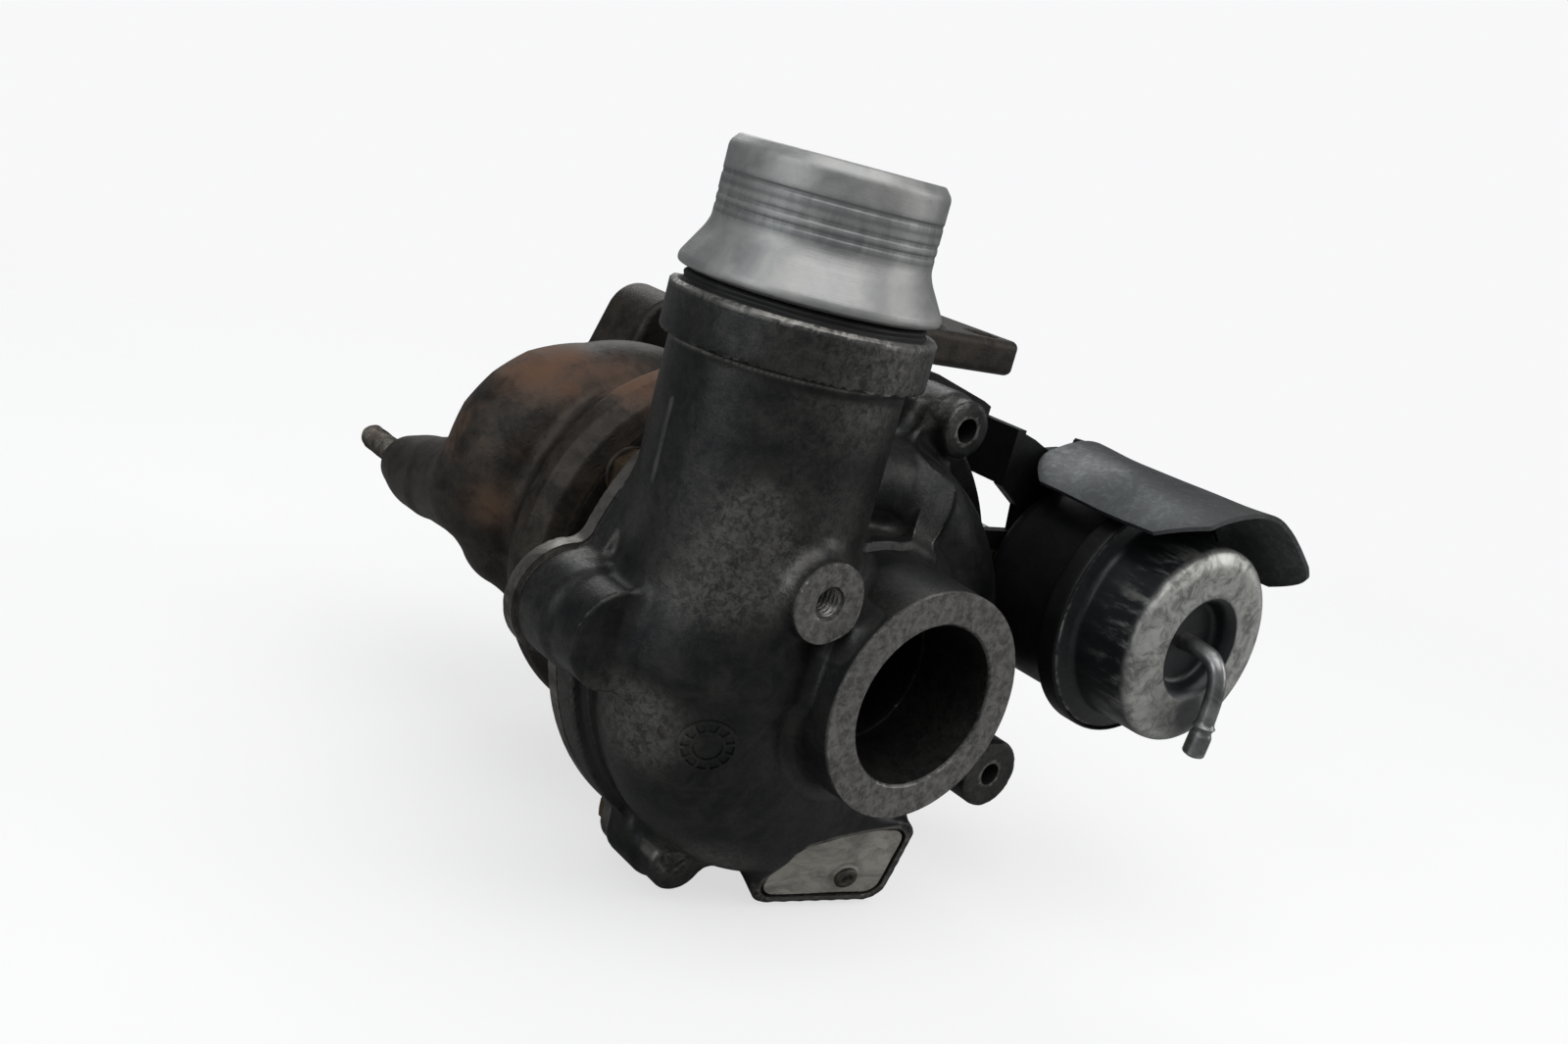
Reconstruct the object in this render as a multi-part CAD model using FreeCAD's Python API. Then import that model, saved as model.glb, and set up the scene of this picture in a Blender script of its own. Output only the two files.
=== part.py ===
import FreeCAD, Part
import math
import os

# Small wastegated turbocharger.  Millimetres.  The origin is on the shaft axis at the mouth of the
# compressor inlet, +Y runs into the machine towards the turbine, +Z runs along the outlet tube of the
# compressor and +X is to the right when the inlet is looked into.
V = FreeCAD.Vector
X, Y, Z = V(1, 0, 0), V(0, 1, 0), V(0, 0, 1)

# ---- driving dimensions -------------------------------------------------------------------------
WALL = 3.5                       # casting wall
# compressor cover
INLET_OUTER, INLET_BORE, INLET_BORE_END = 22.0, 15.53, 18.0
INDUCER_BORE, INDUCER_TIP = 15.1, 14.75      # bore round the wheel mouth, and the blade tips in it
TUBE_X, TUBE_Y, TUBE_OUTER, TUBE_BORE = -26.74, 29.2, 21.1, 17.2
COLLAR_OUTER, COLLAR_LOW, COLLAR_TOP = 23.2, 53.5, 62.35
TONGUE_ANGLE, SCROLL_SWEEP = 105.0, 285.0
RIM_OUTER, RIM_FRONT, RIM_BACK = 50.0, 38.5, 44.0
SPIGOT_RADIUS, DIFFUSER_FRONT, DIFFUSER_BACK = 46.8, 37.0, 41.0
BOSS_X, BOSS_Z, BOSS_RADIUS, BOSS_FACE = -25.8, 18.0, 7.25, 3.8
M6_TAPPED, M6_CLEAR, M5_SHANK, M4_SHANK, M4_CLEAR = 2.5, 3.2, 2.45, 1.95, 2.2
# cover lugs: x, z, radius, front face
LUGS = {
    "left": (-50.0, 2.0, 9.3, 25.0),
    "bottom": (-22.2, -44.5, 7.6, 28.0),
    "right": (48.8, -27.3, 7.6, 20.0),
    "top": (22.6, 44.0, 8.0, 27.0),
}
THROUGH_LUGS = ("right", "top")
# name plate
PLATE_CENTRE, PLATE_WIDTH, PLATE_HEIGHT = V(9.0, 19.8, -43.0), 27.0, 17.0
PLATE_TILT, PLATE_TURN = 15.0, -10.0
# outlet connector
NECK, FLARE, CONNECTOR_BORE, CONNECTOR_TOP = 19.2, 23.1, 16.3, 87.6
SEAL_TOP = 65.3
# backplate and bearing housing
BACKPLATE_BACK = 47.5
HOUSING_FLANGE_R, HOUSING_FLANGE_BACK, BARREL_R = 30.0, 52.5, 19.0
REAR_FLANGE_R, REAR_FLANGE_FRONT, REAR_FLANGE_BACK = 34.5, 72.0, 77.0
NOSE_R, NOSE_END = 12.0, 84.5
BUSH_BORE, MAIN_BORE_START, MAIN_BORE_END = 5.55, 55.5, 79.2
SHAFT_R, STUB_R, SEAL_BOSS_R = 3.5, 2.5, 7.4
OIL_Y = 61.5
# turbine housing
# flange lobes: angle, reach of the stud centre, corner radius
LOBES = ((72.5, 40.5, 8.6), (183.0, 39.5, 6.0), (311.0, 42.0, 9.0))
OUTLET_FLANGE_R = 28.0
STUD_THREAD_END, STUD_END = 154.5, 158.0
OUTLET_FRONT, OUTLET_FACE, OUTLET_BORE = 119.0, 137.0, 22.5
STUD_ROOT_R, STUD_R = 2.75, 3.0
INLET_FLANGE = {"x": (11.0, 83.0), "y": (76.0, 112.0), "top": 56.5, "thick": 10.0}
INLET_PORT_R, FLANGE_HOLE_X, FLANGE_HOLE_Y, FLANGE_HOLE_R = 12.0, 56.0, 22.0, 4.25
TURBINE_TIP, TURBINE_EXIT = 18.5, 16.2
# actuator: axis, stroke and linkage
CAN_X, CAN_Z, CAN_FRONT, CAN_BACK = 65.4, 13.7, -7.9, 36.0
CAP_R, CRIMP_R, REAR_CAN_R = 21.0, 25.0, 22.0
STROKE, LEVER_LENGTH = 8.0, 20.0
LEAN = STROKE / LEVER_LENGTH / 2
PIVOT_Y = 116.0
PIVOT_Z = CAN_Z - LEVER_LENGTH * (1 + math.cos(LEAN)) / 2
PIN_Y = PIVOT_Y - LEVER_LENGTH * math.sin(LEAN)
PIN_Z = PIVOT_Z + LEVER_LENGTH * math.cos(LEAN)
LEVER_X = 58.8
FLAP_X, FLAP_Z, SEAT_Y = 31.0, PIVOT_Z + 15.0, 109.0
FLAP_ROOM_END = 127.3
FLAP_STEM_END = SEAT_Y + 10.0
BRACKET_T, BRACKET_FRONT = 2.5, 36.0
SHIELD_R, SHIELD_T = 29.3, 1.0


# ---- shape helpers ------------------------------------------------------------------------------
def polar(radius, angle):
    a = math.radians(angle)
    return radius * math.cos(a), radius * math.sin(a)


def cyl_y(x, z, radius, y0, y1):
    return Part.makeCylinder(radius, y1 - y0, V(x, y0, z), Y)


def cyl_z(x, y, radius, z0, z1):
    return Part.makeCylinder(radius, z1 - z0, V(x, y, z0), Z)


def cyl_x(y, z, radius, x0, x1):
    return Part.makeCylinder(radius, x1 - x0, V(x0, y, z), X)


def ring_y(x, z, outer, inner, y0, y1):
    return cyl_y(x, z, outer, y0, y1).cut(cyl_y(x, z, inner, y0 - 1, y1 + 1))


def box(x, y, z):
    return Part.makeBox(x[1] - x[0], y[1] - y[0], z[1] - z[0], V(x[0], y[0], z[0]))


def turned_y(profile, x=0.0, z=0.0):
    """Solid of revolution about the line parallel to Y through (x, z); profile is (radius, y)."""
    points = [V(x + r, y, z) for r, y in profile]
    face = Part.Face(Part.makePolygon(points + points[:1]))
    return face.revolve(V(x, 0, z), Y, 360)


def turned_z(profile, x=0.0, y=0.0):
    """Solid of revolution about the line parallel to Z through (x, y); profile is (radius, z)."""
    points = [V(x + r, y, z) for r, z in profile]
    face = Part.Face(Part.makePolygon(points + points[:1]))
    return face.revolve(V(x, y, 0), Z, 360)


def plate_y(outline, y0, y1):
    """Flat plate between two Y planes from an (x, z) outline."""
    points = [V(x, y0, z) for x, z in outline]
    return Part.Face(Part.makePolygon(points + points[:1])).extrude(Y * (y1 - y0))


def rounded_plate(width, height, thick, corner):
    """Plate centred on the origin in the XY plane, its front face up at z = thick."""
    slab = Part.makeBox(width, height, thick, V(-width / 2, -height / 2, 0))
    edges = [e for e in slab.Edges if abs(e.Vertexes[0].Z - e.Vertexes[-1].Z) > thick / 2]
    return slab.makeFillet(corner, edges)


def hexagon_y(x, z, across_flats, y0, y1, turn=0.0):
    corner = across_flats / math.sqrt(3)
    outline = []
    for k in range(6):
        dx, dz = polar(corner, turn + 60 * k)
        outline.append((x + dx, z + dz))
    return plate_y(outline, y0, y1)


def hull_y(x0, z0, r0, x1, z1, r1, y0, y1):
    """Two upright circles and their common tangents, as a bar between two Y planes."""
    gap = math.hypot(x1 - x0, z1 - z0)
    along = math.degrees(math.atan2(z1 - z0, x1 - x0))
    lean = math.degrees(math.acos((r0 - r1) / gap))
    outline = []
    for cx, cz, r, side in ((x0, z0, r0, 1), (x1, z1, r1, 1), (x1, z1, r1, -1), (x0, z0, r0, -1)):
        dx, dz = polar(r, along + side * lean)
        outline.append((cx + dx, cz + dz))
    return fuse([plate_y(outline, y0, y1), cyl_y(x0, z0, r0, y0, y1), cyl_y(x1, z1, r1, y0, y1)])


def circle_wire(centre, normal, radius):
    return Part.Wire(Part.makeCircle(radius, centre, normal))


def spiral(station, steps, shrink=0.0):
    """Loft through circles set round the shaft axis; station(t) gives angle, core, y and radius."""
    wires = []
    for k in range(steps + 1):
        angle, core, y, radius = station(k / steps)
        cx, cz = polar(core, angle)
        tx, tz = polar(1.0, angle - 90)
        wires.append(circle_wire(V(cx, y, cz), V(tx, 0, tz), radius - shrink))
    return Part.makeLoft(wires, True, False)


def fuse(shapes):
    joined = shapes[0]
    for shape in shapes[1:]:
        joined = joined.fuse(shape)
    return joined.removeSplitter()


def cut(shape, tools):
    for tool in tools:
        shape = shape.cut(tool)
    return shape


def pipe(points, radius):
    """Round bar along a smooth curve through the points."""
    curve = Part.BSplineCurve()
    curve.interpolate([V(*p) for p in points])
    start = curve.value(curve.FirstParameter)
    direction = curve.tangent(curve.FirstParameter)[0]
    return Part.Wire(curve.toShape()).makePipeShell([circle_wire(start, direction, radius)], True, False)


def bolt_y(x, z, shank, tip, seat, head_end, across):
    """Hex bolt along Y: the shank runs from tip to the seat, the head from there to head_end."""
    low, high = min(tip, seat), max(tip, seat)
    head = hexagon_y(x, z, across, min(seat, head_end), max(seat, head_end))
    return cyl_y(x, z, shank, low, high).fuse(head).removeSplitter()


PARTS = {}


def add(name, shape):
    PARTS[name] = shape


# ---- compressor side ----------------------------------------------------------------------------
def scroll_station(t):
    radius = 8.4 + (TUBE_OUTER - 8.4) * t
    core = 31.4 - (31.4 + TUBE_X) * max(0.0, (t - 0.6) / 0.4) ** 1.5
    return TONGUE_ANGLE - SCROLL_SWEEP * t, core, 34.5 - (34.5 - TUBE_Y) * t, radius


def lug_web(x, z, radius, y0, y1):
    """Lug barrel joined to the rim by a tapering web."""
    reach = math.hypot(x, z)
    root_x, root_z = x * 38.0 / reach, z * 38.0 / reach
    return hull_y(root_x, root_z, radius + 2.0, x, z, radius, y0, y1)


def compressor_cover():
    solids = [
        spiral(scroll_station, 12),
        cyl_z(TUBE_X, TUBE_Y, TUBE_OUTER, 0, COLLAR_LOW),
        turned_z([(0, COLLAR_LOW), (COLLAR_OUTER - 0.4, COLLAR_LOW), (COLLAR_OUTER, COLLAR_LOW + 0.4),
                  (COLLAR_OUTER, COLLAR_TOP - 0.6), (COLLAR_OUTER - 0.6, COLLAR_TOP), (0, COLLAR_TOP)],
                 TUBE_X, TUBE_Y),
        turned_y([(0, 0), (INLET_OUTER - 0.4, 0), (INLET_OUTER, 0.4), (INLET_OUTER + 0.6, 19),
                  (24, 20), (24, 32), (31, 34), (31, RIM_FRONT), (0, RIM_FRONT)]),
        turned_y([(0, RIM_FRONT), (RIM_OUTER - 0.5, RIM_FRONT), (RIM_OUTER, RIM_FRONT + 0.5),
                  (RIM_OUTER, RIM_BACK), (0, RIM_BACK)]),
        cyl_y(BOSS_X, BOSS_Z, BOSS_RADIUS, BOSS_FACE, 26),
        name_plate_block(4.0, -9.0, 0.0),
    ]
    for x, z, radius, face in LUGS.values():
        solids.append(lug_web(x, z, radius, RIM_FRONT - 4.0, RIM_BACK))
        solids.append(cyl_y(x, z, radius, face, RIM_BACK))
    cover = fuse(solids)
    in_front = box((-60, 60), (0, DIFFUSER_BACK), (-60, 60))
    inlet_wall = cyl_y(0, 0, 24.6, 0, DIFFUSER_FRONT)
    passage_low = spiral(scroll_station, 12, WALL).common(in_front).cut(inlet_wall)
    tube_low = cyl_z(TUBE_X, TUBE_Y, TUBE_BORE, -1, 48).common(in_front).cut(inlet_wall)
    cover = cut(cover, [
        cyl_y(0, 0, RIM_OUTER + 0.6, RIM_BACK, 52),
        cyl_y(0, 0, SPIGOT_RADIUS + 0.1, DIFFUSER_BACK, RIM_BACK + 1),
        turned_y([(0, -1), (INLET_BORE, -1), (INLET_BORE, INLET_BORE_END),
                  (INDUCER_BORE, INLET_BORE_END + 0.4),
                  (INDUCER_BORE, 29), (16.95, 33.2), (21.4, 36.75),
                  (22.4, DIFFUSER_FRONT), (36.0, DIFFUSER_FRONT), (36.0, DIFFUSER_BACK),
                  (0, DIFFUSER_BACK)]),
        passage_low,
        tube_low,
        cyl_z(TUBE_X, TUBE_Y, TUBE_BORE, 48, COLLAR_TOP + 1),
        cyl_y(BOSS_X, BOSS_Z, M6_TAPPED, BOSS_FACE - 1, BOSS_FACE + 7),
    ])
    for name, (x, z, radius, face) in LUGS.items():
        start = face - 1 if name in THROUGH_LUGS else RIM_BACK - 13
        cover = cover.cut(cyl_y(x, z, M6_TAPPED, start, RIM_BACK + 1))
        cover = cover.cut(cyl_y(x, z, 12, RIM_BACK, 52))
    cover = cover.cut(name_plate_block(0.1, 0.0, 4.0))
    rivet_hole = cyl_z(0, 0, 1.3, -6, 0)
    rivet_hole.Placement = rivet_placement()
    return cover.cut(rivet_hole)


def plate_placement():
    """Plate frame: its own +Z is the outward normal, its own +X runs to the right."""
    turn = FreeCAD.Rotation(Z, PLATE_TURN)
    tilt = FreeCAD.Rotation(X, 90 + PLATE_TILT)
    return FreeCAD.Placement(PLATE_CENTRE, turn * tilt)


def name_plate_block(margin, low, high):
    block = rounded_plate(PLATE_WIDTH + margin, PLATE_HEIGHT + margin, high - low, 3.0)
    block.translate(V(0, 0, low))
    block.Placement = plate_placement().multiply(block.Placement)
    return block


def rivet_placement():
    return plate_placement().multiply(FreeCAD.Placement(V(4.5, -4.0, 0), FreeCAD.Rotation()))


def nameplate():
    plate = rounded_plate(PLATE_WIDTH, PLATE_HEIGHT, 0.8, 3.0)
    plate = plate.cut(cyl_z(4.5, -4.0, 1.3, -1, 2))
    plate.Placement = plate_placement()
    return plate


def nameplate_rivet():
    rivet = turned_z([(0, -5.5), (1.2, -5.5), (1.2, 0.8), (2.2, 0.8), (1.9, 1.5), (1.0, 1.8), (1.0, 1.2),
                      (0, 1.2)])
    rivet.Placement = rivet_placement()
    return rivet


def outlet_connector():
    return turned_z([
        (CONNECTOR_BORE, 54.0), (TUBE_BORE - 0.1, 54.0), (TUBE_BORE - 0.1, SEAL_TOP + 0.1),
        (20.9, SEAL_TOP + 0.1), (FLARE, 66.0), (FLARE, 67.2), (NECK + 0.4, 71.8), (NECK, 73.0),
        (NECK, CONNECTOR_TOP - 1.2), (NECK - 0.4, CONNECTOR_TOP - 0.4), (NECK - 1.2, CONNECTOR_TOP),
        (CONNECTOR_BORE + 0.6, CONNECTOR_TOP), (CONNECTOR_BORE, CONNECTOR_TOP - 0.8)], TUBE_X, TUBE_Y)


def outlet_seal_ring():
    return turned_z([(TUBE_BORE + 0.1, COLLAR_TOP), (21.6, COLLAR_TOP), (21.2, SEAL_TOP - 0.8),
                     (20.6, SEAL_TOP), (TUBE_BORE + 0.1, SEAL_TOP)], TUBE_X, TUBE_Y)


def blade(profile, angle, thick_angle):
    """Radial blade: a meridional (radius, y) outline swept through a small angle."""
    points = [V(r, y, 0) for r, y in profile]
    solid = Part.Face(Part.makePolygon(points + points[:1])).revolve(V(0, 0, 0), Y, thick_angle)
    solid.rotate(V(0, 0, 0), Y, angle)
    return solid


def compressor_wheel():
    hub = [(0, 23.8), (3.9, 23.8), (4.3, 27), (6.0, 32), (10.0, 36.4), (15.0, 38.8), (21.0, 39.7),
           (21.0, 40.5), (8.0, 40.5), (0, 40.5)]
    shapes = [turned_y(hub)]
    shroud_line = [(INDUCER_TIP, 29.2), (16.5, 33.4), (20.95, 36.95), (20.95, 39.9), (12.0, 38.6)]
    full = [(3.0, 24.6), (INDUCER_TIP, 24.6)] + shroud_line + [(3.0, 32)]
    split = [(6.0, 29.2)] + shroud_line + [(6.0, 34)]
    for k in range(6):
        shapes.append(blade(full, 60 * k, 2.6))
        shapes.append(blade(split, 60 * k + 30, 2.6))
    return fuse(shapes).cut(cyl_y(0, 0, STUB_R, 20, 42))


def shaft_nut():
    nut = hexagon_y(0, 0, 6.8, 19.9, 23.8).fuse(cyl_y(0, 0, 3.9, 23.0, 23.8))
    return nut.cut(cyl_y(0, 0, STUB_R, 18, 25)).removeSplitter()


def compressor_backplate():
    solids = [
        turned_y([(0, DIFFUSER_BACK), (SPIGOT_RADIUS, DIFFUSER_BACK), (SPIGOT_RADIUS, RIM_BACK),
                  (RIM_OUTER, RIM_BACK), (RIM_OUTER, BACKPLATE_BACK - 0.6),
                  (RIM_OUTER - 0.6, BACKPLATE_BACK),
                  (0, BACKPLATE_BACK)]),
    ]
    for x, z, radius, _face in LUGS.values():
        solids.append(lug_web(x, z, radius, RIM_BACK, BACKPLATE_BACK))
    tools = [cyl_y(0, 0, 7.5, 40, 50), ring_y(0, 0, SPIGOT_RADIUS + 1, SPIGOT_RADIUS - 1.6, 42.0, 43.6)]
    for x, z, _radius, _face in LUGS.values():
        tools.append(cyl_y(x, z, M6_CLEAR, 40, 50))
    for angle in (45, 135, 225, 315):
        x, z = polar(25.5, angle)
        tools.append(cyl_y(x, z, M6_TAPPED, 42.6, 50))
    tools.append(cyl_z(TUBE_X, TUBE_Y, TUBE_OUTER + 0.5, 38, 60))
    return cut(fuse(solids), tools)


def cover_o_ring():
    ring = Part.makeTorus(SPIGOT_RADIUS - 0.75, 0.75, V(0, 42.8, 0), Y)
    return ring


def cover_screws():
    screws = []
    for name, (x, z, _radius, _face) in LUGS.items():
        seat = BACKPLATE_BACK + (BRACKET_T if name in THROUGH_LUGS else 0.0)
        screws.append(bolt_y(x, z, M5_SHANK, 32.0, seat, seat + 4.0, 8.0))
    return Part.makeCompound(screws)


# ---- rotor and bearings -------------------------------------------------------------------------
def thrust_collar():
    collar = turned_y([(STUB_R, 40.5), (7.3, 40.5), (7.3, 43.0), (6.2, 43.0), (6.2, 44.4), (7.3, 44.4),
                       (7.3, 47.6),
                       (9.0, 47.6), (9.0, 49.95), (5.0, 49.95), (5.0, 52.55), (9.0, 52.55), (9.0, 54.5),
                       (STUB_R, 54.5)])
    return collar


def split_ring(outer, inner, y0, y1):
    gap = box((-0.25, 0.25), (y0 - 1, y1 + 1), (0, outer + 1))
    return ring_y(0, 0, outer, inner, y0, y1).cut(gap)


def thrust_bearing():
    plate = ring_y(0, 0, 14.0, 5.1, 50.0, HOUSING_FLANGE_BACK)
    return plate.cut(box((-5.3, 5.3), (49, 54), (-20, 0)))


def journal_bush(y0):
    bush = ring_y(0, 0, 5.5, SHAFT_R + 0.03, y0, y0 + 7.0)
    return cut(bush, [cyl_x(y0 + 3.5, 0, 0.8, -8, 8), cyl_z(0, y0 + 3.5, 0.8, -8, 8)])


def bush_spacer():
    return cut(ring_y(0, 0, 5.4, 3.9, 64.2, 70.8), [cyl_z(0, 67.5, 1.5, -8, 8)])


def turbine_wheel_shaft():
    profile = [(0, 20.8), (STUB_R - 0.4, 20.8), (STUB_R, 21.2), (STUB_R, 54.5), (SHAFT_R, 54.5),
               (SHAFT_R, 79.6),
               (SEAL_BOSS_R, 79.6), (SEAL_BOSS_R, 81.4), (6.2, 81.4), (6.2, 82.9), (SEAL_BOSS_R, 82.9),
               (SEAL_BOSS_R, 85.6), (14.5, 86.0), (15.0, 86.8), (9.5, 90.0), (6.0, 95.5), (4.8, 102),
               (4.6, 107.0), (3.4, 108.4), (0, 108.4)]
    shapes = [turned_y(profile)]
    vane = [(3.0, 86.4), (TURBINE_TIP, 86.4), (TURBINE_TIP, 92.3), (16.9, 96.0), (TURBINE_EXIT, 99.5),
            (TURBINE_EXIT, 103.5), (3.0, 105.0)]
    for k in range(11):
        shapes.append(blade(vane, 360 * k / 11, 3.2))
    return fuse(shapes)


# ---- bearing housing ----------------------------------------------------------------------------
CLAMP_R, CLAMP_ANGLES = 30.0, (52.5, 142.5, 232.5, 322.5)
FLANGE_SCREW_R, FLANGE_SCREW_ANGLES = 25.5, (45, 135, 225, 315)


def bearing_housing():
    solids = [
        turned_y([(0, BACKPLATE_BACK), (HOUSING_FLANGE_R, BACKPLATE_BACK),
                  (HOUSING_FLANGE_R, HOUSING_FLANGE_BACK),
                  (BARREL_R + 1, HOUSING_FLANGE_BACK), (BARREL_R, 54), (BARREL_R - 1, 66),
                  (BARREL_R + 2, REAR_FLANGE_FRONT),
                  (REAR_FLANGE_R, REAR_FLANGE_FRONT), (REAR_FLANGE_R, REAR_FLANGE_BACK),
                  (NOSE_R + 1, REAR_FLANGE_BACK),
                  (NOSE_R, 78.5), (NOSE_R - 0.5, NOSE_END), (0, NOSE_END)]),
        cyl_z(0, OIL_Y, 8.5, 5, 30),
        cyl_z(0, OIL_Y, 9.5, -32, -5),
        box((-19, 19), (OIL_Y - 8.5, OIL_Y + 8.5), (-37, -31)),
    ]
    tools = [
        cyl_y(0, 0, 16, 40, HOUSING_FLANGE_BACK), cyl_y(0, 0, 10, 40, MAIN_BORE_START),
        cyl_y(0, 0, BUSH_BORE, 40, MAIN_BORE_END), cyl_y(0, 0, SEAL_BOSS_R + 0.2, MAIN_BORE_END, 90),
        cyl_z(0, OIL_Y, 4.5, 20, 31), cyl_z(0, OIL_Y, 1.5, 0, 31), cyl_z(0, OIL_Y, 6.5, -40, -8.0),
        cyl_z(0, OIL_Y, 3.5, -9.0, -5.0),
        cyl_z(-13, OIL_Y, M6_TAPPED, -40, -31.5), cyl_z(13, OIL_Y, M6_TAPPED, -40, -31.5),
    ]
    for angle in FLANGE_SCREW_ANGLES:
        x, z = polar(FLANGE_SCREW_R, angle)
        tools.append(cyl_y(x, z, 2.7, 40, 55))
    for angle in CLAMP_ANGLES:
        x, z = polar(CLAMP_R, angle)
        tools.append(cyl_y(x, z, 2.7, 70, 78))
    return cut(fuse(solids), tools)


def housing_screws():
    screws = []
    for angle in FLANGE_SCREW_ANGLES:
        x, z = polar(FLANGE_SCREW_R, angle)
        screws.append(bolt_y(x, z, M5_SHANK, 43.0, HOUSING_FLANGE_BACK, HOUSING_FLANGE_BACK + 3.5, 8.0))
    return Part.makeCompound(screws)


def turbine_bolts():
    bolts = []
    for angle in CLAMP_ANGLES:
        x, z = polar(CLAMP_R, angle)
        bolts.append(bolt_y(x, z, M5_SHANK, 86.0, 71.0, 66.5, 9.0))
    return Part.makeCompound(bolts)


def clamp_washers():
    washers = []
    for angle in CLAMP_ANGLES:
        x, z = polar(CLAMP_R, angle)
        washers.append(ring_y(x, z, 5.4, 2.7, 71.0, REAR_FLANGE_FRONT))
    return Part.makeCompound(washers)


def turbine_heat_shroud():
    return turned_y([(8.4, 84.9), (18.2, 84.9), (19.6, 83.2), (19.6, 77.3), (24.2, 77.3), (24.2, 78.1),
                     (20.4, 78.1),
                     (20.4, 83.6), (18.6, 85.6), (8.4, 85.6)])


# ---- turbine housing ----------------------------------------------------------------------------
def turbine_station(t):
    angle = 60.0 - 330.0 * t
    radius = 16.0 - 7.0 * t ** 0.6
    return angle, 31.0 - 7.0 * t ** 0.6, 91.0, radius


def chamber_station(t):
    return 168.0 - 40.0 * t, 38.0 - 4.5 * t, 99.0, 14.0 - 1.5 * t


def bulge():
    """Outlet chamber that swells out of the casting on the upper left, its ends rounded."""
    shapes = [spiral(chamber_station, 5)]
    for t in (0, 1):
        angle, core, y, radius = chamber_station(t)
        x, z = polar(core, angle)
        shapes.append(Part.makeSphere(radius + 0.2, V(x, y, z)))
    x, z = polar(38.0, 186.0)
    x_end, z_end = polar(36.5, 190.0)
    shapes.append(Part.makeCone(12.0, 8.0, 26.0, V(x, 104, z), V(x_end - x, 26, z_end - z)))
    shapes.append(cyl_y(0, 0, 34.6, 86.2, 106.4))
    return fuse(shapes)


def inlet_duct(shrink):
    top = circle_wire(V(47, 94, INLET_FLANGE["top"] - 2), Z, 16.5 - shrink)
    middle = circle_wire(V(42, 93, 25), V(0.25, 0.03, 1), 16.3 - shrink)
    foot = circle_wire(V(31, 91, -2), V(0.1, 0, 1), 15.0 - shrink)
    return Part.makeLoft([top, middle, foot], True, False)


def turbine_housing():
    fx, fy, top = INLET_FLANGE["x"], INLET_FLANGE["y"], INLET_FLANGE["top"]
    flange = rounded_plate(fx[1] - fx[0], fy[1] - fy[0], INLET_FLANGE["thick"], 3.0)
    flange.translate(V(sum(fx) / 2, sum(fy) / 2, top - INLET_FLANGE["thick"]))
    solids = [
        turned_y([(0, 72), (35, 72), (38.8, 74), (41.2, 77.5), (41.6, 80.5), (39.4, 85), (36.0, 88),
                  (34, 96),
                  (30, 101), (28, 108), (26.5, OUTLET_FACE), (0, OUTLET_FACE)]),
        spiral(turbine_station, 12),
        bulge(),
        flange,
        inlet_duct(0.0),
        box((14, 47.5), (99, FLAP_ROOM_END + 3.2), (-16.5, 24)),
        cyl_x(PIVOT_Y, PIVOT_Z, 8.5, 40, 56),
        cyl_y(0, 0, OUTLET_FLANGE_R, OUTLET_FRONT, OUTLET_FACE),
    ]
    for angle, reach, radius in LOBES:
        x, z = polar(reach, angle)
        solids.append(hull_y(0, 0, radius, x, z, radius, OUTLET_FRONT, OUTLET_FACE))
    casting = fuse(solids)
    tools = [
        cyl_y(0, 0, REAR_FLANGE_R + 0.1, 70, REAR_FLANGE_BACK + 0.1),
        cyl_y(0, 0, 24.4, 76, 86.0),
        turned_y([(0, 85), (23.5, 85), (23.5, 92.6), (18.9, 92.6), (17.3, 96.0), (16.6, 99.5),
                  (16.6, 106),
                  (OUTLET_BORE, 116), (OUTLET_BORE, 140), (0, 140)]),
        spiral(turbine_station, 12, 4.2).common(box((-60, 60), (84.5, 120), (-60, 60))),
        inlet_duct(4.9),
        cyl_z(47, 94, INLET_PORT_R, 49.5, 60),
        cyl_y(FLAP_X, FLAP_Z, 6.0, 92, 112),
        box((12, 42), (SEAT_Y, FLAP_ROOM_END), (-12.5, 20.5)),
        cyl_x(PIVOT_Y, PIVOT_Z, 6.0, 40, 60),
    ]
    for angle, reach, _ in LOBES:
        x, z = polar(reach, angle)
        tools.append(cyl_y(x, z, STUD_ROOT_R, OUTLET_FACE - 14, OUTLET_FACE + 1))
    for angle in CLAMP_ANGLES:
        x, z = polar(CLAMP_R, angle)
        tools.append(cyl_y(x, z, M6_TAPPED, 76, 87))
    for sx in (-1, 1):
        for sy in (-1, 1):
            tools.append(cyl_z(47 + sx * FLANGE_HOLE_X / 2, 94 + sy * FLANGE_HOLE_Y / 2, FLANGE_HOLE_R,
                               40, 60))
    return cut(casting, tools)


def exhaust_studs():
    studs = []
    for angle, reach, _ in LOBES:
        x, z = polar(reach, angle)
        studs.append(turned_y([(0, OUTLET_FACE - 13.5), (STUD_ROOT_R, OUTLET_FACE - 13.5),
                               (STUD_ROOT_R, OUTLET_FACE + 0.5), (STUD_R, OUTLET_FACE + 0.5),
                               (STUD_R, STUD_THREAD_END), (1.6, STUD_END), (0, STUD_END)], x, z))
    return Part.makeCompound(studs)


# ---- wastegate ----------------------------------------------------------------------------------
def wastegate_bush():
    return cyl_x(PIVOT_Y, PIVOT_Z, 6.0, 41.5, 57.5).cut(cyl_x(PIVOT_Y, PIVOT_Z, 4.05, 40, 60))


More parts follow.
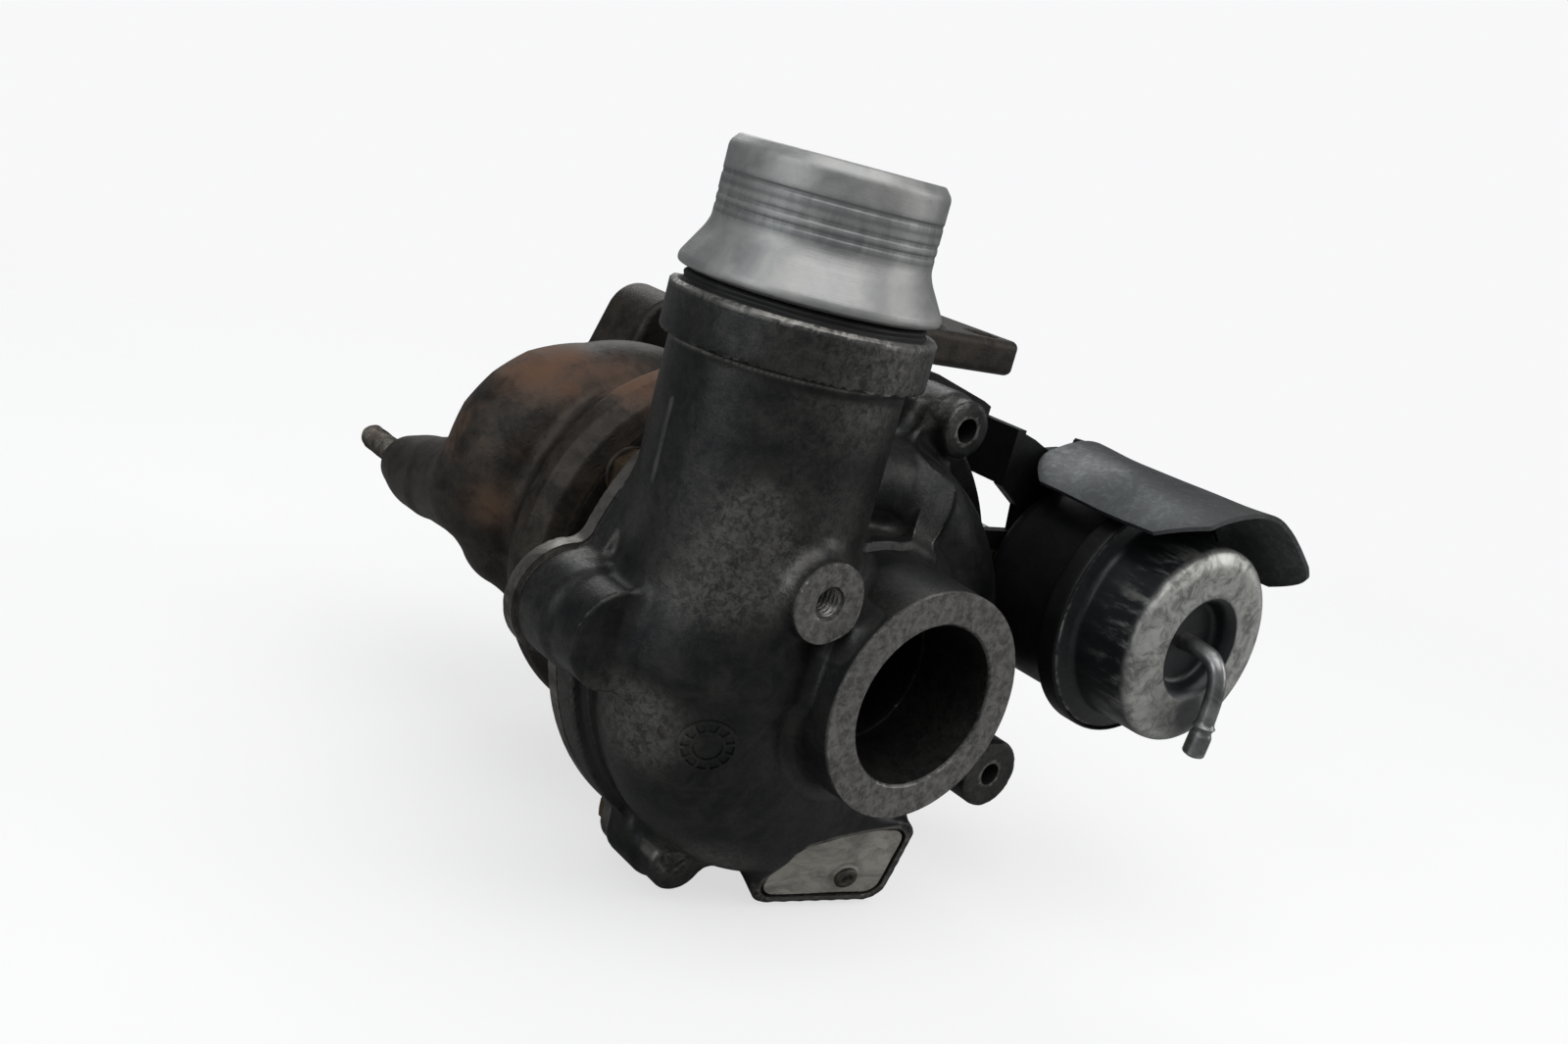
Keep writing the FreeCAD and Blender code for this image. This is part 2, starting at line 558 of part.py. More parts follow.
def wastegate_spindle():
    arm = hull_x(PIVOT_Y, PIVOT_Z, 6.0, SEAT_Y + 4.5, FLAP_Z, 4.0, 27.5, 34.5)
    spindle = cyl_x(PIVOT_Y, PIVOT_Z, 4.0, 27.5, LEVER_X)
    stem_hole = cyl_y(FLAP_X, FLAP_Z, 2.1, SEAT_Y - 2, SEAT_Y + 20)
    flap_space = box((20, 42), (SEAT_Y - 1, SEAT_Y + 2.6), (FLAP_Z - 9.5, FLAP_Z + 10))
    washer_seat = cyl_y(FLAP_X, FLAP_Z, 4.2, FLAP_STEM_END - 1.4, SEAT_Y + 20)
    return cut(fuse([arm, spindle]), [stem_hole, flap_space, washer_seat])


def hull_x(y0, z0, r0, y1, z1, r1, x0, x1):
    """As hull_y, but a bar between two X planes."""
    bar = hull_y(y0, z0, r0, y1, z1, r1, 0, x1 - x0)
    bar.Placement = FreeCAD.Placement(V(x1, 0, 0), FreeCAD.Rotation(Z, 90)).multiply(bar.Placement)
    return bar


def wastegate_flap():
    return turned_y([(0, SEAT_Y), (8.0, SEAT_Y), (8.5, SEAT_Y + 0.8), (8.3, SEAT_Y + 2.4),
                     (2.0, SEAT_Y + 2.4),
                     (2.0, FLAP_STEM_END), (0, FLAP_STEM_END)], FLAP_X, FLAP_Z)


def flap_washer():
    return ring_y(FLAP_X, FLAP_Z, 3.6, 2.0, FLAP_STEM_END - 1.3, FLAP_STEM_END - 0.2)


def wastegate_lever():
    lever = hull_x(PIVOT_Y, PIVOT_Z, 7.5, PIN_Y, PIN_Z, 5.0, LEVER_X, LEVER_X + 3.6)
    return lever.cut(cyl_x(PIN_Y, PIN_Z, 2.5, LEVER_X - 1, LEVER_X + 5))


def lever_pin():
    shank = cyl_x(PIN_Y, PIN_Z, 2.5, LEVER_X, 70.6)
    return shank.cut(cyl_x(PIN_Y, PIN_Z, 4, 69.0, 69.8).cut(cyl_x(PIN_Y, PIN_Z, 2.0, 68.8, 70.0)))


def pin_clip():
    clip = cyl_x(PIN_Y, PIN_Z, 4.6, 69.05, 69.75).cut(cyl_x(PIN_Y, PIN_Z, 2.05, 68, 71))
    return clip.cut(box((68, 71), (PIN_Y - 1.6, PIN_Y + 1.6), (PIN_Z, PIN_Z + 6)))


# ---- actuator -----------------------------------------------------------------------------------
def actuator_front_cap():
    cap = turned_y([(0, -3.4), (9.4, -3.4), (9.4, -6.6), (10.6, CAN_FRONT), (18.6, CAN_FRONT),
                    (20.3, -7.0),
                    (CAP_R, -5.4), (CAP_R, 7.2), (CRIMP_R, 8.0), (CRIMP_R, 9.8), (19.4, 9.8),
                    (19.4, -4.4),
                    (18.0, -6.3), (11.2, -6.3), (10.9, -1.8), (0, -1.8)], CAN_X, CAN_Z)
    return cap.cut(cyl_y(CAN_X, CAN_Z, 2.15, -6, 0))


NIPPLE_PATH = ((CAN_X, -1.8, CAN_Z), (CAN_X, -7.0, CAN_Z), (CAN_X + 0.4, -11.2, CAN_Z - 1.2),
               (CAN_X + 0.6, -13.4, CAN_Z - 5.5), (CAN_X + 0.5, -13.8, CAN_Z - 14.0),
               (CAN_X + 0.2, -13.6, CAN_Z - 20.6))


def hose_nipple():
    x, y, z = NIPPLE_PATH[-1]
    tip = cyl_z(x, y, 2.3, z, z + 4.5)
    return cut(fuse([pipe(NIPPLE_PATH, 1.85), tip]), [cyl_z(x, y, 1.0, z - 1, z + 5)])


def actuator_diaphragm():
    return turned_y([(0, 7.0), (15.4, 7.0), (17.0, 10.4), (18.0, 10.4), (18.8, 9.85), (24.6, 9.85),
                     (24.6, 10.55),
                     (18.6, 10.55), (18.2, 11.3), (16.6, 11.3), (15.0, 7.9), (0, 7.9)], CAN_X, CAN_Z)


def piston_cup():
    return turned_y([(0, 7.95), (14.4, 7.95), (14.4, 16.0), (13.6, 16.0), (13.6, 9.2), (0, 9.2)], CAN_X,
                    CAN_Z)


def actuator_spring():
    helix = Part.makeHelix(5.4, 27 - 5.4, 11.6)
    profile = circle_wire(V(11.6, 0, 0), Y, 0.9)
    coil = Part.Wire(helix.Edges).makePipeShell([profile], True, True)
    coil.Placement = FreeCAD.Placement(V(CAN_X, 10.4, CAN_Z), FreeCAD.Rotation(Z, Y))
    return coil


def actuator_rear_can():
    can = turned_y([(CRIMP_R + 0.05, 7.6), (25.6, 8.2), (25.6, 12.2), (25.2, 12.6),
                    (REAR_CAN_R + 0.6, 12.6),
                    (REAR_CAN_R, 13.4), (REAR_CAN_R, 30.6), (21.2, 32.6), (18.0, 35.0), (15.5, CAN_BACK),
                    (6.0, CAN_BACK), (6.0, 34.5), (15.0, 34.5), (17.2, 33.6), (20.5, 31), (20.5, 10.6),
                    (CRIMP_R + 0.05, 10.6)], CAN_X, CAN_Z)
    return cut(can, [cyl_y(CAN_X + dx, CAN_Z, M5_SHANK, 30, 40) for dx in (-11, 11)])


def rod_bush():
    return turned_y([(3.05, 33.2), (7.3, 33.2), (7.3, 34.5), (6.0, 34.5), (6.0, 39.5), (3.05, 39.5)],
                    CAN_X, CAN_Z)


def mounting_studs():
    return Part.makeCompound([
        fuse([cyl_y(CAN_X + dx, CAN_Z, M5_SHANK, 33.4, 46.0), cyl_y(CAN_X + dx, CAN_Z, 3.4, 33.5, 34.5)])
        for dx in (-11, 11)])


def mounting_nuts():
    back = BRACKET_FRONT + BRACKET_T
    return Part.makeCompound([
        hexagon_y(CAN_X + dx, CAN_Z, 8.0, back, back + 4.0).cut(cyl_y(CAN_X + dx, CAN_Z, M5_SHANK, 36,
                                                                      50))
        for dx in (-11, 11)])


ROD_END, EYE_R, EYE_HOLE = 108.0, 6.6, 3.05


def actuator_rod():
    return turned_y([(0, 9.2), (6.0, 9.2), (6.0, 10.2), (3.0, 10.2), (3.0, 103.6), (0, 103.6)], CAN_X,
                    CAN_Z)


def rod_lock_nut():
    return hexagon_y(CAN_X, CAN_Z, 8.0, 94.6, 98.6).cut(cyl_y(CAN_X, CAN_Z, 3.0, 90, 100))


def rod_eye():
    eye = fuse([cyl_x(PIN_Y, CAN_Z, EYE_R, 63.2, 67.6), cyl_y(CAN_X, CAN_Z, 4.4, 98.6, 105.6),
                box((63.2, 67.6), (103.6, PIN_Y), (CAN_Z - 4.4, CAN_Z + 4.4))])
    return cut(eye, [cyl_x(PIN_Y, CAN_Z, EYE_HOLE, 60, 70), cyl_y(CAN_X, CAN_Z, 3.0, 98, 103.6)])


# ---- bracket and heat shield --------------------------------------------------------------------
def actuator_bracket():
    back = BACKPLATE_BACK + BRACKET_T
    front = BRACKET_FRONT
    top_lug, right_lug = LUGS["top"], LUGS["right"]
    upper = fuse([
        plate_y([(15.5, 52.2), (28.5, 51.2), (44, 47), (46.5, 46), (46.5, 32), (36, 34.5), (17.5, 38.5)],
                BACKPLATE_BACK, back),
        cyl_y(top_lug[0], top_lug[1], 8.0, BACKPLATE_BACK, back),
        box((44, 46.5), (front, back), (32, 44.2)),
    ])
    lower = fuse([
        plate_y([(44, -21.5), (53, -12), (57.5, -5), (60, -5), (60, -26), (55, -33), (44, -33)],
                BACKPLATE_BACK, back),
        cyl_y(right_lug[0], right_lug[1], 7.6, BACKPLATE_BACK, back),
        box((57.5, 60), (front, back), (-20, -5)),
    ])
    panel = plate_y([(44, 44.2), (50, 42.5), (55.3, 40.4), (60, 41), (70, 41), (73.5, 40.9),
                     (79, 37.2), (85, 30), (89, 20), (89, 6),
                     (82, -5), (70, -9.5), (60, -9.5), (60, -20), (57.5, -20), (51, -6), (51.5, 9),
                     (52.2, 17.6),
                     (43.2, 18.0), (42.4, 22.0), (51.8, 22.0), (51, 27.5), (44, 31.8)], front,
                     front + BRACKET_T)
    bracket = fuse([upper, lower, panel])
    tools = [cyl_y(x, z, M6_CLEAR, 30, 60) for x, z, _r, _f in (top_lug, right_lug)]
    tools += [cyl_y(CAN_X + dx, CAN_Z, 2.7, 30, 50) for dx in (-11, 11)]
    tools += [cyl_y(CAN_X, CAN_Z, 6.5, 30, 50), cyl_y(*shield_screw_axis(), M4_CLEAR, 30, 50)]
    return cut(bracket, tools)


def shield_screw_axis():
    dx, dz = polar(24.0, 75)
    return CAN_X + dx, CAN_Z + dz


def sector(outer, inner, from_angle, to_angle, y0, y1):
    """Part of a ring round the can axis between two angles."""
    half = ring_y(CAN_X, CAN_Z, outer, inner, y0, y1)
    points = [V(CAN_X, y0 - 1, CAN_Z)]
    steps = 8
    for k in range(steps + 1):
        dx, dz = polar(outer * 2, from_angle + (to_angle - from_angle) * k / steps)
        points.append(V(CAN_X + dx, y0 - 1, CAN_Z + dz))
    wedge = Part.Face(Part.makePolygon(points + points[:1])).extrude(Y * (y1 - y0 + 2))
    return half.common(wedge)


def actuator_heat_shield():
    outer, inner = SHIELD_R + SHIELD_T / 2, SHIELD_R - SHIELD_T / 2
    sheet = sector(outer, inner, 23, 132, -10.5, 35.0)
    tail = sector(outer, inner, 30, 104, 34.0, 39.6)
    tab = sector(outer, 16.5, 62, 88, 38.6, 39.6)
    shield = fuse([sheet, tail, tab])
    return shield.cut(cyl_y(*shield_screw_axis(), M4_CLEAR, 30, 50))


def shield_screw():
    x, z = shield_screw_axis()
    return bolt_y(x, z, M4_SHANK, 33.5, 39.6, 42.6, 7.0)


def shield_nut():
    x, z = shield_screw_axis()
    return hexagon_y(x, z, 7.0, 33.6, BRACKET_FRONT, 75 - 30).cut(cyl_y(x, z, M4_SHANK, 30, 40))


# ---- assembly -----------------------------------------------------------------------------------
add("compressor_cover", compressor_cover())
add("nameplate", nameplate())
add("nameplate_rivet", nameplate_rivet())
add("outlet_connector", outlet_connector())
add("outlet_seal_ring", outlet_seal_ring())
add("compressor_wheel", compressor_wheel())
add("shaft_nut", shaft_nut())
add("compressor_backplate", compressor_backplate())
add("cover_o_ring", cover_o_ring())
add("cover_screws", cover_screws())
add("thrust_collar", thrust_collar())
add("thrust_bearing", thrust_bearing())
add("front_journal_bush", journal_bush(56.5))
add("rear_journal_bush", journal_bush(71.5))
add("bush_spacer", bush_spacer())
add("compressor_piston_ring", split_ring(7.5, 6.4, 43.1, 44.3))
add("turbine_piston_ring", split_ring(SEAL_BOSS_R + 0.2, 6.4, 81.5, 82.8))
add("turbine_wheel_shaft", turbine_wheel_shaft())
add("bearing_housing", bearing_housing())
add("housing_screws", housing_screws())
add("turbine_bolts", turbine_bolts())
add("clamp_washers", clamp_washers())
add("turbine_heat_shroud", turbine_heat_shroud())
add("turbine_housing", turbine_housing())
add("exhaust_studs", exhaust_studs())
add("wastegate_bush", wastegate_bush())
add("wastegate_spindle", wastegate_spindle())
add("wastegate_flap", wastegate_flap())
add("flap_washer", flap_washer())
add("wastegate_lever", wastegate_lever())
add("lever_pin", lever_pin())
add("pin_clip", pin_clip())
add("actuator_front_cap", actuator_front_cap())
add("hose_nipple", hose_nipple())
add("actuator_diaphragm", actuator_diaphragm())
add("piston_cup", piston_cup())
add("actuator_spring", actuator_spring())
add("actuator_rear_can", actuator_rear_can())
add("rod_bush", rod_bush())
add("mounting_studs", mounting_studs())
add("mounting_nuts", mounting_nuts())
add("actuator_rod", actuator_rod())
add("rod_lock_nut", rod_lock_nut())
add("rod_eye", rod_eye())
add("actuator_bracket", actuator_bracket())
add("actuator_heat_shield", actuator_heat_shield())
add("shield_screw", shield_screw())
add("shield_nut", shield_nut())

os.makedirs("parts", exist_ok=True)
for name, shape in PARTS.items():
    shape.exportStep("parts/" + name + ".step")
    print(name, "solids", len(shape.Solids), "valid", shape.isValid(), "volume", round(shape.Volume, 1))
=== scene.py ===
import math

import bpy
import numpy as np
from mathutils import Matrix, Vector


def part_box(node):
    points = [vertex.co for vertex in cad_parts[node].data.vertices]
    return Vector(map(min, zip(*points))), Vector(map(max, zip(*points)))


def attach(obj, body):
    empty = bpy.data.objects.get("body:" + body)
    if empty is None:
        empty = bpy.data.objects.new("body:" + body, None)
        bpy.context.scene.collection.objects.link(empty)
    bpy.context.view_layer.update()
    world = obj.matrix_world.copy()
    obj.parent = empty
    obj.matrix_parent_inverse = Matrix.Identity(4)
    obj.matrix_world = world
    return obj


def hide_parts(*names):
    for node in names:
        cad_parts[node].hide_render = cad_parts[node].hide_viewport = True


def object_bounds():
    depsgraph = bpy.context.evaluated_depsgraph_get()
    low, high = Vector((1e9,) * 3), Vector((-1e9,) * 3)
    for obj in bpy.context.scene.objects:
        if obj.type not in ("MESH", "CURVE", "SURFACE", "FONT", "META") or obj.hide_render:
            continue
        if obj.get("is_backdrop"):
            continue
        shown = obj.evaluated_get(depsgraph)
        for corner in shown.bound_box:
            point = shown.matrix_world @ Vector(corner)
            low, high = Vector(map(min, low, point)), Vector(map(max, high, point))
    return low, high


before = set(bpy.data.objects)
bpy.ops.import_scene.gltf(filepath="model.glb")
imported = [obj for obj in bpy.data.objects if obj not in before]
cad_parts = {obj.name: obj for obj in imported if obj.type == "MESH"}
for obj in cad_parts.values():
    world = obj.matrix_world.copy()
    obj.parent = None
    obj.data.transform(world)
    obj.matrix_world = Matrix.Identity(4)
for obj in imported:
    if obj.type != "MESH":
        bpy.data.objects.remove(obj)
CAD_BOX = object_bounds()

# Small wastegated turbocharger.  Lengths are in millimetres and become metres when a mesh is made.
MM = 0.001
CASTING_STEP = 0.65      # grid of the large castings
FITTING_STEP = 0.3      # grid of the small fittings


def corner(node, which):
    """Lowest (0) or highest (1) corner of a CAD node in millimetres."""
    return np.array(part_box(node)[which]) / MM


def middle(node):
    return (corner(node, 0) + corner(node, 1)) / 2


# ---- places taken from the frame ------------------------------------------------------------------
TUBE_X, TUBE_Y = middle("outlet_connector")[:2]
NECK_TOP = corner("outlet_connector", 1)[2]
CAN_X, _, CAN_Z = middle("actuator_front_cap")
CRIMP_R = (corner("actuator_front_cap", 1)[0] - corner("actuator_front_cap", 0)[0]) / 2
CAP_FACE = corner("actuator_front_cap", 0)[1]
CAN_BACK = corner("actuator_rear_can", 1)[1]
OUTLET_FACE = corner("turbine_housing", 1)[1]
STUD_END = corner("exhaust_studs", 1)[1]
INLET_FLANGE_TOP = corner("turbine_housing", 1)[2]
BACKPLATE_BACK = corner("compressor_backplate", 1)[1]
NOSE_END = corner("bearing_housing", 1)[1]

# ---- driving dimensions ---------------------------------------------------------------------------
WALL = 3.5
INLET_R, INLET_BORE, INDUCER_BORE, BORE_STEP = 22.0, 15.53, 15.1, 18.0
TUBE_R, TUBE_BORE = 21.1, 17.2
MOUTH_X = TUBE_X + 0.6                           # collar and connector stand a little to the right
COLLAR_R, COLLAR_LOW, COLLAR_TOP = 23.6, 53.5, 62.35
TONGUE_ANGLE, SCROLL_SWEEP = 105.0, 285.0
RIM_R, RIM_FRONT, RIM_BACK = 50.0, 38.5, 44.0
SPIGOT_R, DIFFUSER_FRONT, DIFFUSER_BACK = 46.8, 37.0, 41.0
BOSS_X, BOSS_Z, BOSS_R, BOSS_FACE = -25.8, 18.0, 7.25, 3.8
TAPPED_R = 3.0
LUGS = {                                         # x, z, radius, front face
    "left": (-50.0, 2.0, 9.3, 25.0),
    "bottom": (-22.2, -44.5, 6.3, 28.0),
    "right": (48.8, -27.3, 7.6, 20.0),
    "top": (22.6, 44.0, 5.8, 30.0),
}
OPEN_LUGS = ("right", "top")
LUG_HOLE_R = 2.5
PLATE_CENTRE = np.array([9.0, 19.8, -43.0])
PLATE_SIZE, PLATE_T = (27.0, 17.0), 0.8
PLATE_TILT, PLATE_TURN = 15.0, -10.0
RIVET_U, RIVET_V = 4.5, -4.0
MARK_SPOT, MARK_LOOK, MARK_HEIGHT = (-36.5, 12.2, -11.8), (-0.48, -0.85, -0.2), 0.3
PIN_MARKS = (((-24.2, 28.0, -43.4), (0.0, -1.0, 0.0)),)
SEAM_TILT = math.radians(-3.0)
CONNECTOR_LINES = (75.4, 77.2, 80.6)
FLARE_R, NECK_R, NECK_BORE, SEAL_TOP = 23.1, 19.2, 16.3, 64.2
OIL_Y = 61.5
STUD_R, SHIELD_SCREW = 3.0, (24.0, 75.0)
CLAMP_R, CLAMP_ANGLES = 30.0, (52.5, 142.5, 232.5, 322.5)
SCREW_R, SCREW_ANGLES = 25.5, (45.0, 135.0, 225.0, 315.0)
LOBES = ((72.5, 40.5, 8.6), (183.0, 39.5, 6.0), (311.0, 42.0, 9.0))     # angle, reach, corner radius
OUTLET_FRONT, OUTLET_BORE, OUTLET_FLANGE_R = 119.0, 22.5, 28.0
FLAP_ROOM_END = 127.3
FLANGE_X, FLANGE_Y, FLANGE_T, FLANGE_CORNER = (11.0, 83.0), (76.0, 112.0), 8.4, 3.0
FLANGE_HOLES, FLANGE_HOLE_R, PORT_R = (56.0, 22.0), 4.25, 12.0
PIVOT_Y, PIVOT_Z = 116.0, -6.1
FLAP_X, FLAP_Z, SEAT_Y = 31.0, 8.9, 109.0
SHIELD_R, SHIELD_T = 29.3, 1.0
WEB_ROOT_R = 38.0                                # where a lug's web starts
# Outlet chamber: reach from the shaft axis and section radius at some angles round it.
CHAMBER_Y = 98.5
CHAMBER_ANGLES = (88, 100, 120, 135, 145, 155, 168, 180, 190)
CHAMBER_OUTER = (38.0, 40.0, 43.5, 48.5, 50.3, 51.0, 49.8, 47.0, 42.0)
CHAMBER_RADII = (11.0, 11.2, 12.0, 13.0, 13.6, 14.0, 14.0, 13.0, 11.5)


# ---- distance fields ------------------------------------------------------------------------------
# A field takes p = (x, y, z) arrays and gives the distance to a solid's skin, negative inside.
def around(p, axis, a, b):
    """Distance from a line along the axis, and the place along it; (a, b) is where the line stands."""
    x, y, z = p
    if axis == "x":
        return np.hypot(y - a, z - b), x
    if axis == "y":
        return np.hypot(x - a, z - b), y
    return np.hypot(x - a, y - b), z


def extrude(flat, along, start, end, edge=0.0):
    """A flat distance made into a slab from start to end, its edges rounded by edge."""
    out = flat + edge
    cap = np.abs(along - (start + end) / 2) - (end - start) / 2 + edge
    inner = np.minimum(np.maximum(out, cap), 0.0)
    return inner + np.hypot(np.maximum(out, 0.0), np.maximum(cap, 0.0)) - edge


def rod(p, axis, a, b, radius, start, end, edge=0.0):
    radial, along = around(p, axis, a, b)
    return extrude(radial - radius, along, start, end, edge)


def rectangle(u, v, half_u, half_v, rounding=0.0):
    du, dv = np.abs(u) - half_u + rounding, np.abs(v) - half_v + rounding
    return np.minimum(np.maximum(du, dv), 0.0) + np.hypot(np.maximum(du, 0.0), np.maximum(dv,
                                                                                          0.0)) - rounding


def block(p, xs, ys, zs, edge=0.0):
    flat = rectangle(p[0] - sum(xs) / 2, p[1] - sum(ys) / 2, (xs[1] - xs[0]) / 2, (ys[1] - ys[0]) / 2,
                     edge)
    return extrude(flat, p[2], zs[0], zs[1], edge)


def link(u, v, a, b, ra, rb):
    """Flat distance to two circles, a with ra and b with rb, joined by their tangents."""
    du, dv = b[0] - a[0], b[1] - a[1]
    gap = math.hypot(du, dv)
    along = ((u - a[0]) * du + (v - a[1]) * dv) / gap
    side = np.abs((u - a[0]) * dv - (v - a[1]) * du) / gap
    lean = (ra - rb) / gap
    flank = math.sqrt(1 - lean * lean)
    k = flank * along - lean * side
    near = np.hypot(side, along) - ra
    far = np.hypot(side, along - gap) - rb
    return np.where(k < 0, near, np.where(k > flank * gap, far, side * flank + along * lean - ra))


def limb(p, a, b, ra, rb):
    """Round arm between two points, its radius going from ra to rb."""
    a, b = np.array(a, float), np.array(b, float)
    d = b - a
    t = ((p[0] - a[0]) * d[0] + (p[1] - a[1]) * d[1] + (p[2] - a[2]) * d[2]) / (d @ d)
    t = np.clip(t, 0.0, 1.0)
    away = np.sqrt(sum((p[k] - a[k] - t * d[k]) ** 2 for k in range(3)))
    return away - ra - (rb - ra) * t


def turned(radial, along, profile):
    """Signed distance to a closed (radius, place) outline swept round its axis."""
    best = np.full(radial.shape, 1e9)
    sign = np.ones(radial.shape)
    for (r0, y0), (r1, y1) in zip(profile, profile[1:] + profile[:1]):
        er, ey = r1 - r0, y1 - y0
        wr, wy = radial - r0, along - y0
        t = np.clip((wr * er + wy * ey) / (er * er + ey * ey), 0.0, 1.0)
        best = np.minimum(best, (wr - er * t) ** 2 + (wy - ey * t) ** 2)
        crosses = ((along >= y0) != (along >= y1)) & ((er * wy - ey * wr) * np.sign(ey) > 0)
        sign = np.where(crosses, -sign, sign)
    return sign * np.sqrt(best)


def join(a, b, fillet=0.0):
    if fillet <= 0:
        return np.minimum(a, b)
    u, v = np.maximum(fillet - a, 0.0), np.maximum(fillet - b, 0.0)
    return np.maximum(fillet, np.minimum(a, b)) - np.hypot(u, v)


def carve(a, b, edge=0.0):
    """a without b, the new edges rounded by edge."""
    return -join(-a, b, edge)


def without(body, cuts):
    """The body less every cut, with sharp new edges."""
    for cut in cuts:
        body = np.maximum(body, -cut)
    return body


def ring_of_holes(p, reach, angles, radius, start, end):
    """Holes along Y at the angles round the shaft axis."""
    return [rod(p, "y", *polar(reach, angle), radius, start, end) for angle in angles]


def polar(radius, angle):
    return radius * math.cos(math.radians(angle)), radius * math.sin(math.radians(angle))


def wound(p, first, sweep, station):
    """Coiled passage: station(t) gives core radius, y and section radius for the share t of the sweep."""
    angle = np.degrees(np.arctan2(p[2], p[0]))
    turn = np.mod(first - angle, 360.0) / sweep
    spare = 360.0 / sweep - 1
    t = np.where(turn > 1 + spare / 2, 0.0, np.minimum(turn, 1.0))
    core, height, radius = station(t)
    at = np.radians(first - sweep * t)
    away = (p[0] - core * np.cos(at)) ** 2 + (p[1] - height) ** 2 + (p[2] - core * np.sin(at)) ** 2
    return np.sqrt(away) - radius


# ---- field to mesh --------------------------------------------------------------------------------
def gradient(field, p, reach=0.02):
    rows = []
    for k in range(3):
        step = [np.zeros(1)] * 3
        step[k] = np.full(1, reach)
        ahead = field(tuple(c + s for c, s in zip(p, step)))
        behind = field(tuple(c - s for c, s in zip(p, step)))
        rows.append((ahead - behind) / (2 * reach))
    g = np.stack(rows, -1)
    return g / np.maximum(np.linalg.norm(g, axis=-1, keepdims=True), 1e-9)


def sample(field, axes):
    """The field on a grid, slab by slab to keep memory low."""
    y, z = np.meshgrid(axes[1], axes[2], indexing="ij")
    slabs = []
    for start in range(0, len(axes[0]), 24):
        x = axes[0][start:start + 24][:, None, None]
        shape = (x.shape[0],) + y.shape
        slabs.append(field((np.broadcast_to(x, shape), np.broadcast_to(y, shape), np.broadcast_to(z,
                                                                                                  shape))))
    return np.concatenate(slabs)


def skin(field, low, high, step):
    """Dual contouring: one point per crossed cell, set where the skin's planes meet, so edges stay crisp."""
    off_grid = 1.37                              # keeps flat faces from lying on a grid plane
    start = [a - step * off_grid for a in low]
    axes = [np.arange(a, b + step * 2, step) for a, b in zip(start, high)]
    grid = sample(field, axes)
    shape = np.array(grid.shape)
    inside = grid < 0
    strides = np.array([shape[1] * shape[2], shape[2], 1])
    ends, cells, flips, kinds = [], [], [], []
    for k in range(3):
        ahead = [slice(None)] * 3
        behind = [slice(None)] * 3
        ahead[k], behind[k] = slice(1, None), slice(None, -1)
        index = np.argwhere(inside[tuple(ahead)] != inside[tuple(behind)])
        others = [j for j in range(3) if j != k]
        keep = (index[:, others] > 0).all(1) & (index[:, others] < shape[others] - 1).all(1)
        index = index[keep]
        nxt = index.copy()
        nxt[:, k] += 1
        a = grid[tuple(index.T)]
        b = grid[tuple(nxt.T)]
        t = a / (a - b)
        lo_t, hi_t = np.zeros(len(t)), np.ones(len(t))
        point = np.stack([axes[j][index[:, j]] for j in range(3)], -1)
        for _ in range(2):
            trial = point.copy()
            trial[:, k] += t * step
            value = field(tuple(trial.T))
            same = (value < 0) == (a < 0)
            lo_t, hi_t = np.where(same, t, lo_t), np.where(same, hi_t, t)
            a_side = np.where(same, value, a)
            b_side = np.where(same, b, value)
            a, b = a_side, b_side
            t = np.clip(lo_t + (hi_t - lo_t) * a / np.where(a == b, 1e-9, a - b), 0.0, 1.0)
        point[:, k] += t * step
        ends.append(point)
        flips.append(inside[tuple(index.T)])
        corners = []
        for du, dv in ((0, 0), (-1, 0), (-1, -1), (0, -1)):
            cell = index.copy()
            cell[:, others[0]] += du
            cell[:, others[1]] += dv
            corners.append(cell @ strides)
        cells.append(np.stack(corners, -1))
        kinds.append(np.full(len(index), k))
    ends, cells = np.concatenate(ends), np.concatenate(cells)
    flips, kinds = np.concatenate(flips), np.concatenate(kinds)
    normals = gradient(field, tuple(ends.T))
    used, inverse = np.unique(cells.ravel(), return_inverse=True)
    inverse = inverse.reshape(cells.shape)
    count = len(used)
    weight = np.zeros(count)
    centre = np.zeros((count, 3))
    ata = np.zeros((count, 3, 3))
    atb = np.zeros((count, 3))
    reach = (normals * ends).sum(1)
    for c in range(4):
        where = inverse[:, c]
        weight += np.bincount(where, minlength=count)
        for i in range(3):
            centre[:, i] += np.bincount(where, ends[:, i], count)
            atb[:, i] += np.bincount(where, normals[:, i] * reach, count)
            for j in range(3):
                ata[:, i, j] += np.bincount(where, normals[:, i] * normals[:, j], count)
    centre /= weight[:, None]
    hold = 0.06
    ata += np.eye(3) * hold
    shift = np.linalg.solve(ata, (atb - np.einsum("nij,nj->ni", ata, centre) + hold * centre)[:, :,
                                                                                              None])[:, :,
                                                                                                     0]
    cell = np.stack([used // strides[0], used // strides[1] % shape[1], used % shape[2]], -1)
    floor = np.stack([axes[j][cell[:, j]] for j in range(3)], -1)
    points = np.clip(centre + shift, floor - 0.05 * step, floor + 1.05 * step)
    turn = flips ^ (kinds == 1)
    quads = np.where(turn[:, None], inverse, inverse[:, ::-1])
    return points, quads


def mesh_object(name, points, faces, body, smooth_angle=40.0):
    mesh = bpy.data.meshes.new(name)
    points = np.asarray(points, float) * MM
    mesh.from_pydata(points.tolist(), [], faces.tolist() if isinstance(faces, np.ndarray) else faces)
    mesh.validate()
    mesh.shade_smooth()
    mesh.set_sharp_from_angle(angle=math.radians(smooth_angle))
    piece = bpy.data.objects.new(name, mesh)
    bpy.context.scene.collection.objects.link(piece)
    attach(piece, body)
    return piece


def tag(piece, name, values):
    layer = piece.data.attributes.new(name, "FLOAT", "POINT")
    layer.data.foreach_set("value", np.asarray(values, np.float32))


